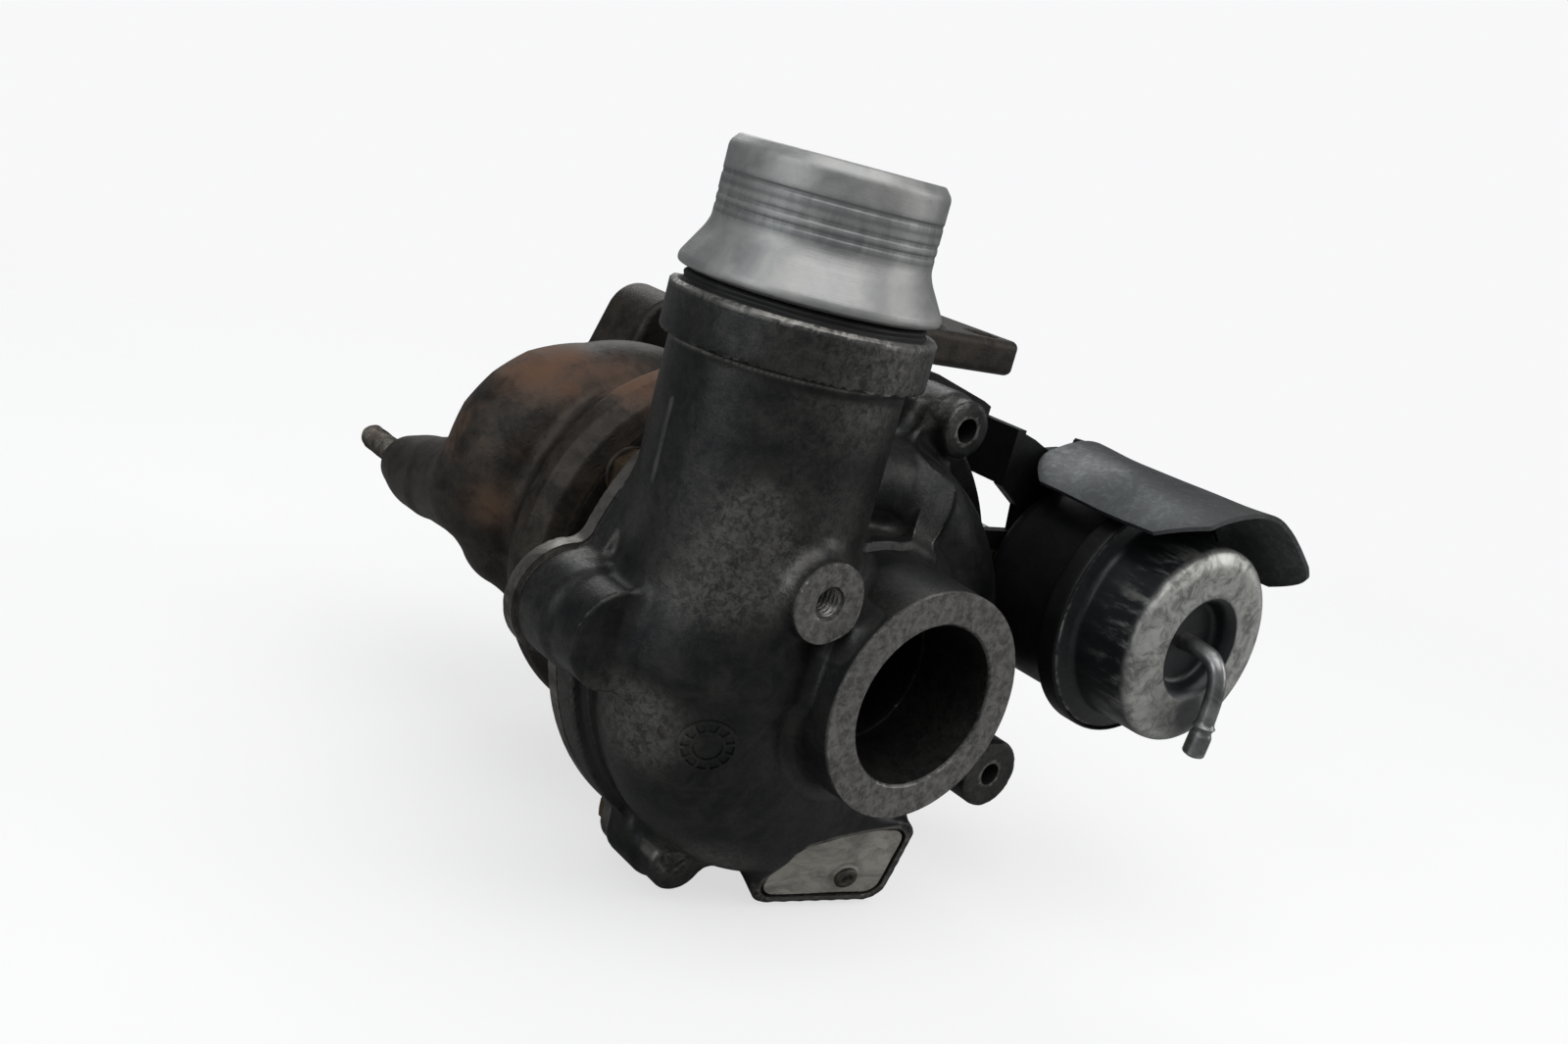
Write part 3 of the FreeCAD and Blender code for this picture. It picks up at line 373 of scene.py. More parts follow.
def wear_and_shade_marks(piece, field, machined=None, reach=1.0, deep=4.0):
    """Marks each vertex with how exposed (edge), how sheltered (cavity, which the materials use for painted
    shade) and how machined it is.
    """
    count = len(piece.data.vertices)
    co = np.zeros(count * 3)
    piece.data.vertices.foreach_get("co", co)
    p = co.reshape(-1, 3) / MM
    n = gradient(field, tuple(p.T), 0.3)
    tag(piece, "edge", np.clip(1 + field(tuple((p - n * reach).T)) / reach, 0, 1))
    tag(piece, "cavity", np.clip(1 - field(tuple((p + n * deep).T)) / deep, 0, 1))
    tag(piece, "machined", machined(tuple(p.T)) if machined else np.zeros(count))


def cast(name, field, low, high, body, machined=None, step=CASTING_STEP):
    points, quads = skin(field, low, high, step)
    piece = mesh_object(name, points, quads, body)
    wear_and_shade_marks(piece, field, machined)
    return piece


# ---- compressor side ------------------------------------------------------------------------------
def scroll_station(shrink):
    """Compressor scroll: grows from the tongue and leans out to the tube over its last part."""
    core_start, y_start, radius_start, lean_from = 31.4, 34.5, 8.4, 0.6

    def station(t):
        lean = np.maximum(0.0, (t - lean_from) / (1 - lean_from)) ** 1.5
        core = core_start - (core_start + TUBE_X) * lean
        return core, y_start - (y_start - TUBE_Y) * t, radius_start + (TUBE_R - radius_start) * t - shrink
    return station


def plate_axes():
    """Columns are the name plate's own right, up and outward directions."""
    tilt = Matrix.Rotation(math.radians(90 + PLATE_TILT), 3, "X")
    turn = Matrix.Rotation(math.radians(PLATE_TURN), 3, "Z")
    return np.array(turn @ tilt)


def on_plate(p):
    axes = plate_axes()
    q = [p[k] - PLATE_CENTRE[k] for k in range(3)]
    return [q[0] * axes[0, k] + q[1] * axes[1, k] + q[2] * axes[2, k] for k in range(3)]


def plate_block(p, margin, low, high, rounding, edge=0.0):
    u, v, w = on_plate(p)
    flat = rectangle(u, v, PLATE_SIZE[0] / 2 + margin, PLATE_SIZE[1] / 2 + margin, rounding)
    return extrude(flat, w, low, high, edge)


def lug(p, x, z, radius, front, back, web_front):
    """Screw boss with a tapering web that runs to the rim."""
    share = WEB_ROOT_R / math.hypot(x, z)
    web = extrude(link(p[0], p[2], (x * share, z * share), (x, z), radius + 1.5, radius), p[1], web_front,
                  back, 1.0)
    return join(web, rod(p, "y", x, z, radius, front, back, 0.8), 2.5)


def facing(p, spot, look, turn=0.0):
    """Flat coordinates, in millimetres, of a mark that looks outward along look from its spot."""
    look = np.array(look) / np.linalg.norm(look)
    side = np.cross(look, (0.0, 0.0, 1.0))
    side /= np.linalg.norm(side)
    rise = np.cross(side, look)
    c, s = math.cos(math.radians(turn)), math.sin(math.radians(turn))
    q = [p[k] - spot[k] for k in range(3)]
    u, v = [q[0] * axis[0] + q[1] * axis[1] + q[2] * axis[2] for axis in (side, rise)]
    w = q[0] * look[0] + q[1] * look[1] + q[2] * look[2]
    return u * c + v * s, v * c - u * s, w


def tick_ring(u, v):
    """Flat outline of a mould date ring without figures: two rings and twelve ticks."""
    radial = np.hypot(u, v)
    flat = np.minimum(np.abs(radial - 5.0) - 0.35, np.abs(radial - 2.9) - 0.3)
    around_it = np.mod(np.arctan2(v, u) * 6 / math.pi, 1.0) - 0.5
    tick = np.maximum(np.abs(around_it) * radial * math.pi / 6 - 0.3, np.abs(radial - 4.0) - 1.1)
    return np.minimum(flat, tick)


def cast_marks(p, body):
    """Pin circles and the parting line."""
    near = 6.0
    for spot, look in PIN_MARKS:
        u, v, w = facing(p, spot, look)
        groove = np.maximum(np.abs(np.hypot(u, v) - 2.3) - 0.3, np.abs(w) - near)
        body = np.maximum(body, -np.maximum(groove, -0.3 - body))
    seam_from_tube = (p[1] - TUBE_Y) * math.cos(SEAM_TILT) - (p[0] - TUBE_X) * math.sin(SEAM_TILT)
    seam = np.maximum(np.abs(seam_from_tube) - 0.3, np.maximum(p[0] - TUBE_X, np.abs(p[2] - 36.5) - 7.5))
    return np.minimum(body, np.maximum(seam, body - 0.3))


def cover_field(p):
    x, y, z = p
    radial = np.hypot(x, z)
    body = wound(p, TONGUE_ANGLE, SCROLL_SWEEP, scroll_station(0.0))
    body = join(body, rod(p, "z", TUBE_X, TUBE_Y, TUBE_R, 0, COLLAR_LOW), 6.0)
    body = join(body, turned(radial, y, [(0, 33), (31, 33), (31, 42), (0, 42)]), 3.0)
    body = join(body, rod(p, "y", 0, 0, RIM_R, RIM_FRONT, RIM_BACK, 0.7), 2.5)
    spigot = turned(radial, y, [(0, 0), (INLET_R, 0), (INLET_R + 0.7, 19.0), (24.0, 20.0), (24.0, 38),
                                (0, 38)])
    body = join(body, spigot, 3.0)
    rib_angle, rib_half, rib_middle, rib_reach = math.radians(68), 3.2, 28.0, 10.0
    rib_out = x * math.cos(rib_angle) + z * math.sin(rib_angle)
    rib_side = np.abs(z * math.cos(rib_angle) - x * math.sin(rib_angle)) - rib_half
    rib_top = 20.5 + (rib_out - 24) * 0.35 - y
    rib = np.maximum(np.maximum(rib_side, np.abs(rib_out - rib_middle) - rib_reach), rib_top)
    body = join(body, np.maximum(rib, y - 38), 3.5)
    boss_draft = 0.012
    boss_radius = BOSS_R + boss_draft * (y - BOSS_FACE)
    body = join(body, rod(p, "y", BOSS_X, BOSS_Z, boss_radius, BOSS_FACE, 26, 0.3), 3.5)
    for lx, lz, radius, front in LUGS.values():
        body = join(body, lug(p, lx, lz, radius, front, RIM_BACK, RIM_FRONT - 4), 3.0)
    body = join(body, plate_block(p, 2.3, -10.0, 1.1, 4.4, 0.7), 3.0)
    body = cast_marks(p, body)
    radial_tube = np.hypot(x - MOUTH_X, y - TUBE_Y)
    collar = turned(radial_tube, z, [(0, COLLAR_LOW), (COLLAR_R - 0.5, COLLAR_LOW),
                                     (COLLAR_R, COLLAR_LOW + 0.5),
                                     (COLLAR_R, COLLAR_TOP - 0.6), (COLLAR_R - 0.6, COLLAR_TOP),
                                     (0, COLLAR_TOP)])
    body = join(body, collar, 1.2)
    clear_of_inlet = np.maximum(24.6 - radial, y - DIFFUSER_BACK)
    passage = wound(p, TONGUE_ANGLE, SCROLL_SWEEP, scroll_station(WALL))
    bore_low = rod(p, "z", TUBE_X, TUBE_Y, TUBE_BORE, -1, 48)
    cuts = [
        radial_cut(radial, y),
        np.maximum(join(passage, bore_low), clear_of_inlet),
        rod(p, "z", MOUTH_X, TUBE_Y, TUBE_BORE, 47.5, COLLAR_TOP + 5),
        rod(p, "y", 0, 0, SPIGOT_R + 0.1, DIFFUSER_BACK, RIM_BACK + 5),
    ]
    body = np.maximum(without(body, cuts), y - RIM_BACK)
    body = carve(body, rod(p, "y", BOSS_X, BOSS_Z, TAPPED_R, BOSS_FACE - 5, BOSS_FACE + 9), 0.5)
    for name, (lx, lz, _radius, front) in LUGS.items():
        start = front - 5 if name in OPEN_LUGS else RIM_BACK - 13
        body = carve(body, rod(p, "y", lx, lz, LUG_HOLE_R, start, RIM_BACK + 5), 0.3)
    return carve(body, plate_block(p, 0.7, 0.0, 6.0, 3.6), 0.2)


def radial_cut(radial, y):
    """Inlet bore, wheel shroud and diffuser."""
    return turned(radial, y, [(0, -5), (INLET_BORE + 0.5, -5), (INLET_BORE + 0.5, 0), (INLET_BORE, 0.5),
                              (INLET_BORE, BORE_STEP),
                              (INDUCER_BORE, BORE_STEP), (INDUCER_BORE, 29),
                              (16.95, 33.2), (19.0, 35.6), (22.4, DIFFUSER_FRONT), (36.0, DIFFUSER_FRONT),
                              (36.0, DIFFUSER_BACK + 0.1), (0, DIFFUSER_BACK + 0.1)])


def mould_ring(body):
    """Raised date ring without figures, lying on the volute."""
    def field(p):
        u, v, w = facing(p, MARK_SPOT, MARK_LOOK)
        skin_away = cover_field(p)
        relief = np.maximum(skin_away - MARK_HEIGHT, -0.5 - skin_away)
        return np.maximum(np.maximum(tick_ring(u, v), np.abs(w) - 5.0), relief)
    low, high = [c - 7.0 for c in MARK_SPOT], [c + 7.0 for c in MARK_SPOT]
    points, quads = skin(field, low, high, FITTING_STEP)
    ring = mesh_object("mould_ring", points, quads, body)
    for name in ("edge", "cavity", "machined"):
        tag(ring, name, np.zeros(len(points)))
    return ring


def cover_machined(p):
    x, y, z = p
    mask = (y < 0.12) | (y > RIM_BACK - 0.1)
    from_boss = np.hypot(x - BOSS_X, z - BOSS_Z)
    mask |= (from_boss < BOSS_R + 0.3) & (y < BOSS_FACE + 0.1)
    mask |= from_boss < TAPPED_R + 0.3
    tube = np.hypot(x - TUBE_X, y - TUBE_Y)
    mask |= (z > COLLAR_TOP - 0.9) | ((tube < TUBE_BORE + 0.2) & (z > 40))
    return mask.astype(float)


def backplate_field(p):
    x, y, z = p
    body = rod(p, "y", 0, 0, RIM_R, RIM_BACK - 4, BACKPLATE_BACK, 0.8)
    for name, (lx, lz, radius, _front) in LUGS.items():
        swell = 1.5 if name == "left" else 0.0
        share = WEB_ROOT_R / math.hypot(lx, lz)
        flat = link(x, z, (lx * share, lz * share), (lx, lz), radius + 2 + swell, radius + swell)
        body = join(body, extrude(flat, y, RIM_BACK - 4, BACKPLATE_BACK, 0.8), 2.0)
    body = join(body, turned(np.hypot(x, z), y, [(0, 44), (33, 44), (33, BACKPLATE_BACK),
                                                 (0, BACKPLATE_BACK)]), 1.0)
    body = np.maximum(body, RIM_BACK + 0.05 - y)
    body = join(body, rod(p, "y", 0, 0, SPIGOT_R, DIFFUSER_BACK, RIM_BACK + 1))
    body = np.maximum(body, -rod(p, "y", 0, 0, 7.5, 30, 60))
    for lx, lz, _radius, _front in LUGS.values():
        body = carve(body, rod(p, "y", lx, lz, 3.2, 30, 60), 0.3)
    return without(body, ring_of_holes(p, SCREW_R, SCREW_ANGLES, 2.5, 42.6, 60))


# ---- bearing housing ------------------------------------------------------------------------------
def housing_field(p):
    x, y, z = p
    radial = np.hypot(x, z)
    barrel = turned(radial, y, [(0, 48), (20, 48), (19, 54), (17.6, 60), (18, 66), (21.5, 74), (0, 74)])
    body = join(barrel, rod(p, "y", 0, 0, 30, BACKPLATE_BACK, 52.5, 0.8), 3.0)
    body = join(body, rod(p, "y", 0, 0, 34.5, 72, 77, 0.6), 3.0)
    body = join(body, rod(p, "y", 0, 0, 12, 75, NOSE_END, 0.4), 1.0)
    body = join(body, rod(p, "z", 0, OIL_Y, 8.5, 5, 30, 0.6), 4.0)
    body = join(body, rod(p, "z", 0, OIL_Y, 9.5, -32, -5), 4.0)
    flat = rectangle(x, y - OIL_Y, 19, 8.5, 6.0)
    body = join(body, extrude(flat, z, -37, -31, 0.5), 2.0)
    for side in (-1, 1):
        rib = np.maximum(np.abs(x - side * 16.5) - 1.6, np.maximum(np.abs(z) - 15, np.abs(y - 62) - 11))
        body = join(body, rib, 3.0)
    body = np.maximum(body, BACKPLATE_BACK + 0.03 - y)
    cuts = [rod(p, "y", 0, 0, 16, 40, 52.5), rod(p, "y", 0, 0, 10, 40, 55.5), rod(p, "y", 0, 0, 5.55, 40,
                                                                                  79.2),
            rod(p, "y", 0, 0, 7.6, 79.2, 90), rod(p, "z", 0, OIL_Y, 1.5, 0, 31)]
    body = without(body, cuts)
    body = carve(body, rod(p, "z", 0, OIL_Y, 4.5, 20, 36), 0.5)
    body = carve(body, rod(p, "z", 0, OIL_Y, 6.5, -42, -8), 0.4)
    body = np.maximum(body, -rod(p, "z", 0, OIL_Y, 3.5, -10, -5))
    for side in (-13, 13):
        body = carve(body, rod(p, "z", side, OIL_Y, 2.5, -42, -31.5), 0.3)
    body = without(body, ring_of_holes(p, SCREW_R, SCREW_ANGLES, 2.7, 40, 55))
    return without(body, ring_of_holes(p, CLAMP_R, CLAMP_ANGLES, 2.7, 70, 78))


def housing_machined(p):
    x, y, z = p
    return ((z > 29.8) | (z < -36.8) | ((np.hypot(x, z) > 33.8) & (y > 72.4))).astype(float)


# ---- turbine housing ------------------------------------------------------------------------------
def turbine_station(shrink):
    """Turbine scroll: core and section both shrink along the way."""
    core_start, height, radius_start, narrowing = 31.0, 91.0, 16.0, 7.0

    def station(t):
        less = narrowing * t ** 0.6
        return core_start - less, height + 0 * t, radius_start - less - shrink
    return station


def duct(p, shrink):
    """Gas inlet: from the flange port down and round into the scroll."""
    top, top_r = (47, 94, INLET_FLANGE_TOP + 4), 16.5
    bend, bend_r = (42, 93, 25), 16.3
    foot, foot_r = (31, 91, -2), 15.0
    upper = limb(p, top, bend, top_r - shrink, bend_r - shrink)
    lower = limb(p, bend, foot, bend_r - shrink, foot_r - shrink)
    return np.maximum(join(upper, lower, 6.0), p[2] - INLET_FLANGE_TOP - (5 if shrink else 0))


def chamber(p):
    """Outlet chamber that swells out on the upper left, thinner toward the top."""
    angle = np.mod(np.degrees(np.arctan2(p[2], p[0])), 360.0)
    angle = np.clip(np.where(angle > 320.0, 0.0, angle), CHAMBER_ANGLES[0], CHAMBER_ANGLES[-1])
    radius = np.interp(angle, CHAMBER_ANGLES, CHAMBER_RADII)
    at, core = np.radians(angle), np.interp(angle, CHAMBER_ANGLES, CHAMBER_OUTER) - radius
    away = (p[0] - core * np.cos(at)) ** 2 + (p[1] - CHAMBER_Y) ** 2 + (p[2] - core * np.sin(at)) ** 2
    return np.sqrt(away) - radius


def turbine_field(p):
    x, y, z = p
    radial = np.hypot(x, z)
    shell = turned(radial, y, [(0, 72.03), (35, 72.03), (38.6, 73.6), (41.0, 77.0), (41.4, 80.5),
                               (39.4, 84.5), (35.0, 88),
                               (33, 96), (30, 101), (28, 108), (26.5, OUTLET_FACE), (0, OUTLET_FACE)])
    body = join(shell, wound(p, 60.0, 330.0, turbine_station(0.0)), 3.0)
    body = join(body, chamber(p), 3.5)
    arm_x, arm_z = polar(38.0, 176.0)
    tip_x, tip_z = polar(37.0, 183.5)
    body = join(body, limb(p, (arm_x, 104, arm_z), (tip_x, 128, tip_z), 11.0, 8.5), 3.0)
    body = join(body, duct(p, 0.0), 5.0)
    flat = rectangle(x - sum(FLANGE_X) / 2, y - sum(FLANGE_Y) / 2, (FLANGE_X[1] - FLANGE_X[0]) / 2,
                     (FLANGE_Y[1] - FLANGE_Y[0]) / 2, FLANGE_CORNER)
    body = join(body, extrude(flat, z, INLET_FLANGE_TOP - FLANGE_T, INLET_FLANGE_TOP, 1.8), 3.0)
    body = join(body, block(p, (14, 47.5), (99, FLAP_ROOM_END + 3.2), (-16.5, 24), 5.0), 4.0)
    body = join(body, rod(p, "x", PIVOT_Y, PIVOT_Z, 8.5, 40, 56, 0.8), 3.0)
    body = join(body, extrude(radial - OUTLET_FLANGE_R, y, OUTLET_FRONT, OUTLET_FACE, 1.2), 2.0)
    for angle, reach, radius in LOBES:
        ear = link(x, z, (0, 0), polar(reach, angle), radius, radius)
        body = join(body, extrude(ear, y, OUTLET_FRONT, OUTLET_FACE, 1.6), 3.5)
    inside = turned(radial, y, [(0, 85), (23.5, 85), (23.5, 92.6), (18.9, 92.6), (17.3, 96), (16.6, 99.5),
                                (16.6, 106),
                                (OUTLET_BORE, 116), (OUTLET_BORE, 142), (0, 142)])
    passage = np.maximum(wound(p, 60.0, 330.0, turbine_station(4.2)), 84.5 - y)
    cuts = [
        rod(p, "y", 0, 0, 34.6, 66, 77.1), rod(p, "y", 0, 0, 24.4, 76, 86), inside, passage, duct(p, 4.9),
        rod(p, "y", FLAP_X, FLAP_Z, 6.0, 92, 112), block(p, (12, 42), (SEAT_Y, FLAP_ROOM_END),
                                                         (-12.5, 20.5), 1.0),
        rod(p, "x", PIVOT_Y, PIVOT_Z, 6.0, 40, 60),
    ]
    middle_x, middle_y = sum(FLANGE_X) / 2, sum(FLANGE_Y) / 2
    body = without(body, cuts)
    body = carve(body, rod(p, "z", middle_x, middle_y, PORT_R, 49.5, INLET_FLANGE_TOP + 5), 0.5)
    for angle, reach, _radius in LOBES:
        body = carve(body, rod(p, "y", *polar(reach, angle), STUD_R + 0.1, OUTLET_FACE - 14,
                               OUTLET_FACE + 5), 0.4)
    body = without(body, ring_of_holes(p, CLAMP_R, CLAMP_ANGLES, 2.5, 76, 87))
    for side_x in (-0.5, 0.5):
        for side_y in (-0.5, 0.5):
            hole_x = middle_x + side_x * FLANGE_HOLES[0]
            hole_y = middle_y + side_y * FLANGE_HOLES[1]
            body = carve(body, rod(p, "z", hole_x, hole_y, FLANGE_HOLE_R, 40, INLET_FLANGE_TOP + 5), 0.5)
    return body


def turbine_machined(p):
    _x, y, z = p
    return ((y > OUTLET_FACE - 0.1) | (z > INLET_FLANGE_TOP - 0.1) | (y < 72.1)).astype(float)


# ---- turned, swept and sheet pieces ---------------------------------------------------------------
def soften(profile, radius, steps=4):
    """The closed outline with each corner turned into an arc of about the radius."""
    points = [np.array(q, float) for q in profile]
    out = []
    for before, here, after in zip(points[-1:] + points[:-1], points, points[1:] + points[:1]):
        a, b = before - here, after - here
        la, lb = np.linalg.norm(a), np.linalg.norm(b)
        on_axis = abs(here[0]) < 1e-6
        reach = min(radius, la * 0.45, lb * 0.45)
        if on_axis or reach < 0.02:
            out.append(here)
            continue
        start, end = here + a / la * reach, here + b / lb * reach
        for k in range(steps + 1):
            t = k / steps
            out.append((1 - t) ** 2 * start + 2 * t * (1 - t) * here + t * t * end)
    return out


def lathe(name, profile, axis, a, b, body, rounding=0.35, turns=144, ripple=None):
    """Solid of revolution of a closed (radius, place) outline; ripple(angle, place) may change the radius."""
    outline = soften(profile, rounding)
    points, faces = [], []
    count = len(outline)
    for k in range(turns):
        angle = 2 * math.pi * k / turns
        c, s = math.cos(angle), math.sin(angle)
        for r, along in outline:
            if ripple and r > 1e-6:
                r += ripple(angle, along, r)
            spot = {"x": (along, a + r * c, b + r * s), "y": (a + r * c, along, b + r * s),
                    "z": (a + r * c, b + r * s, along)}[axis]
            points.append(spot)
    turn = -1 if axis == "y" else 1
    for k in range(turns):
        for j in range(count):
            here, below = k * count + j, k * count + (j + 1) % count
            there, under = (k + 1) % turns * count + j, (k + 1) % turns * count + (j + 1) % count
            faces.append((here, there, under, below)[::turn])
    piece = mesh_object(name, points, faces, body, 35.0)
    weld(piece)
    return piece


def weld(piece):
    """Joins the points that meet on the axis and turns every face outward."""
    import bmesh
    work = bmesh.new()
    work.from_mesh(piece.data)
    bmesh.ops.remove_doubles(work, verts=work.verts, dist=1e-6)
    bmesh.ops.dissolve_degenerate(work, dist=1e-7, edges=work.edges)
    bmesh.ops.recalc_face_normals(work, faces=work.faces)
    work.to_mesh(piece.data)
    work.free()
    piece.data.shade_smooth()
    piece.data.set_sharp_from_angle(angle=math.radians(35))


def merge(name, parts):
    """One piece from several, keeping the first one's body."""
    first = parts[0]
    bpy.ops.object.select_all(action="DESELECT")
    for part in parts:
        part.select_set(True)
    bpy.context.view_layer.objects.active = first
    if len(parts) > 1:
        bpy.ops.object.join()
    first.name = name
    return first


def thread(pitch, depth):
    """Ripple of a screw thread for lathe()."""
    def ripple(angle, along, _radius):
        phase = (along / pitch - angle / (2 * math.pi)) % 1.0
        return -depth * abs(2 * phase - 1)
    return ripple


def screwed_rod(name, axis, a, b, radius, start, end, pitch, body, tip=0.6, smooth_to=None):
    """Threaded stud with chamfered ends; smooth_to leaves a plain shank up to there."""
    low, high = min(start, end), max(start, end)
    steps = max(8, int((high - low) / pitch * 5))
    side = [(radius, low + tip + (high - low - 2 * tip) * k / steps) for k in range(steps + 1)]
    profile = [(0, low), (radius - tip, low)] + side + [(radius - tip, high), (0, high)]
    depth = pitch * 0.45
    plain = thread(pitch, depth)

    def ripple(angle, along, r):
        if r < radius - 0.01 or (smooth_to is not None and along < smooth_to):
            return 0.0
        return plain(angle, along, r)
    return lathe(name, profile, axis, a, b, body, 0.0, 40, ripple)


def threaded_sleeve(name, x, z, front, depth, body):
    """Tapped wall inside a hole along Y."""
    pitch, outer = 1.0, TAPPED_R + 0.25
    steps = int(depth / pitch * 6)
    inner = [(TAPPED_R - 0.05, front + depth * (1 - k / steps)) for k in range(steps + 1)]
    profile = [(outer, front + 0.4), (outer, front + depth)] + inner
    plain = thread(pitch, 0.5)

    def ripple(angle, along, r):
        return plain(angle, along, r) if r < TAPPED_R else 0.0
    return lathe(name, profile, "y", x, z, body, 0.0, 48, ripple)


def hexagon(u, v, across, turn):
    """Flat distance to a hexagon."""
    best = None
    for k in range(3):
        angle = math.radians(turn + 30 + 60 * k)
        side = np.abs(u * math.cos(angle) + v * math.sin(angle)) - across / 2
        best = side if best is None else np.maximum(best, side)
    return best


def hex_head(name, x, z, across, seat, end, body, turn=10.0, hole=None, washer=0.0):
    """Chamfered hexagon along Y on the seat; a nut has a hole, a flanged head a washer."""
    low, high = min(seat, end), max(seat, end)
    outward = 1 if end > seat else -1

    def field(p):
        radial, along = around(p, "y", x, z)
        prism = np.maximum(hexagon(p[0] - x, p[2] - z, across, turn),
                           np.abs(along - (low + high) / 2) - (high - low) / 2)
        crown = radial - across * 0.62 + (outward * (along - end)) * 1.7 + across * 0.115
        head = np.maximum(prism, crown)
        if washer:
            skirt = seat + outward * 1.1
            head = join(head, rod(p, "y", x, z, across / 2 + washer, min(seat, skirt), max(seat, skirt),
                                  0.4), 0.5)
        if hole:
            head = carve(head, rod(p, "y", x, z, hole, low - 5, high + 5), 0.3)
        return head
    reach = across * 0.62 + washer + 0.5
    points, quads = skin(field, (x - reach, low - 0.3, z - reach), (x + reach, high + 0.3, z + reach),
                         FITTING_STEP)
    return mesh_object(name, points, quads, body, 30.0)


def sweep(name, path, radius, body, sides=28, steps=90):
    """Round bar along a smooth path; radius(t) may vary and the ends are closed."""
    knots = [np.array(q, float) for q in path]
    knots = [2 * knots[0] - knots[1]] + knots + [2 * knots[-1] - knots[-2]]
    spans = len(knots) - 3

    def place(t):
        k = min(int(t * spans), spans - 1)
        f = t * spans - k
        a, b, c, d = knots[k:k + 4]
        square, cube = 2 * a - 5 * b + 4 * c - d, 3 * b - a - 3 * c + d
        return 0.5 * (2 * b + (c - a) * f + square * f ** 2 + cube * f ** 3)
    points, faces = [], []
    side = np.array([1.0, 0.0, 0.0])
    for k in range(steps + 1):
        t = k / steps
        here = place(t)
        ahead = place(min(t + 1e-3, 1.0)) - place(max(t - 1e-3, 0.0))
        ahead /= np.linalg.norm(ahead)
        side = side - ahead * (side @ ahead)
        side /= np.linalg.norm(side)
        other = np.cross(ahead, side)
        for j in range(sides):
            angle = 2 * math.pi * j / sides
            points.append(here + radius(t) * (math.cos(angle) * side + math.sin(angle) * other))
    for k in range(steps):
        for j in range(sides):
            a, b = k * sides + j, k * sides + (j + 1) % sides
            faces.append((a, b, b + sides, a + sides))
    faces.append(tuple(range(sides))[::-1])
    faces.append(tuple(steps * sides + j for j in range(sides)))
    piece = mesh_object(name, points, faces, body, 45.0)
    weld(piece)
    return piece


def two_sided(name, points, columns, rows, body, smooth_angle):
    """Closed skin from two grids of points, one behind the other, with a rim all round."""
    layer = (columns + 1) * (rows + 1)

    def at(i, j, k):
        return k * layer + i * (rows + 1) + j
    faces = []
    for i in range(columns):
        for j in range(rows):
            faces.append((at(i, j, 0), at(i + 1, j, 0), at(i + 1, j + 1, 0), at(i, j + 1, 0)))
            faces.append((at(i, j, 1), at(i, j + 1, 1), at(i + 1, j + 1, 1), at(i + 1, j, 1)))
        for j in (0, rows):
            faces.append((at(i, j, 0), at(i, j, 1), at(i + 1, j, 1), at(i + 1, j, 0)))
    for j in range(rows):
        for i in (0, columns):
            faces.append((at(i, j, 0), at(i, j, 1), at(i, j + 1, 1), at(i, j + 1, 0)))
    piece = mesh_object(name, points, faces, body, smooth_angle)
    weld(piece)
    return piece


def sheet(name, place, thick, body, columns, rows):
    """Sheet metal: place(s, t) gives a point and the outward normal of the middle surface."""
    points = []
    for side in (0.5, -0.5):
        for i in range(columns + 1):
            for j in range(rows + 1):
                spot, normal = place(i / columns, j / rows)
                points.append(spot + normal * thick * side)
    return two_sided(name, points, columns, rows, body, 40.0)


# ---- wheels ---------------------------------------------------------------------------------------
def vane(name, root, tip, wrap, lean, thick, body, turn, steps=16):
    """Thin curved blade between a root and a tip line of (radius, y), wrapped and leaned round the axis."""
    root, tip = np.array(root, float), np.array(tip, float)

    def along(line, t):
        k = min(int(t * (len(line) - 1)), len(line) - 2)
        f = t * (len(line) - 1) - k
        return line[k] * (1 - f) + line[k + 1] * f
    points = []
    rows = 8
    for side in (1, -1):
        for i in range(steps + 1):
            t = i / steps
            for j in range(rows + 1):
                s = j / rows
                r, y = along(root, t) * (1 - s) + along(tip, t) * s
                angle = math.radians(turn + wrap(t) + lean * s * (1 - t))
                half = thick * (1.0 - 0.55 * s) / 2 * min(1.0, 0.35 + 4 * min(t, 1 - t))
                nx, nz = -math.sin(angle), math.cos(angle)
                points.append((r * math.cos(angle) + side * half * nx, y,
                               r * math.sin(angle) + side * half * nz))
    return two_sided(name, points, steps, rows, body, 50.0)


def arc_line(start, end, bow, steps=8):
    """Points from start to end along a quarter of an ellipse; bow picks which way it swings."""
    out = []
    for k in range(steps + 1):
        a = math.pi / 2 * k / steps
        u, v = (math.sin(a), 1 - math.cos(a)) if bow else (1 - math.cos(a), math.sin(a))
        out.append((start[0] + (end[0] - start[0]) * u, start[1] + (end[1] - start[1]) * v))
    return out


def compressor_wheel():
    hub_line = [(5.0, 24.4)] + arc_line((5.0, 28.0), (20.9, 39.7), False)
    shroud = [(14.75, 24.6), (14.75, 28.6)] + arc_line((14.85, 30.0), (20.9, 37.0), False)[1:]
    hub = [(2.5, 23.8), (4.3, 23.8), (4.9, 26.0)] + hub_line[1:] + [(21.0, 40.5), (2.5, 40.5)]
    parts = [lathe("compressor_hub", hub, "y", 0, 0, "rotor", 0.2, 96)]
    for k in range(6):
        for split in (0, 1):
            start = 0.32 if split else 0.0
            root_line = trimmed([(r - 0.3, y + 0.3) for r, y in hub_line], start)
            tip_line = trimmed(shroud, start)

            def wrap(t, start=start):
                whole = start + (1 - start) * t
                return -46 * whole + 16 * whole * whole
            parts.append(vane("blade", root_line, tip_line, wrap, 6.0, 0.9, "rotor", 60 * k + 30 * split))
    return merge("compressor_wheel_turned", parts)


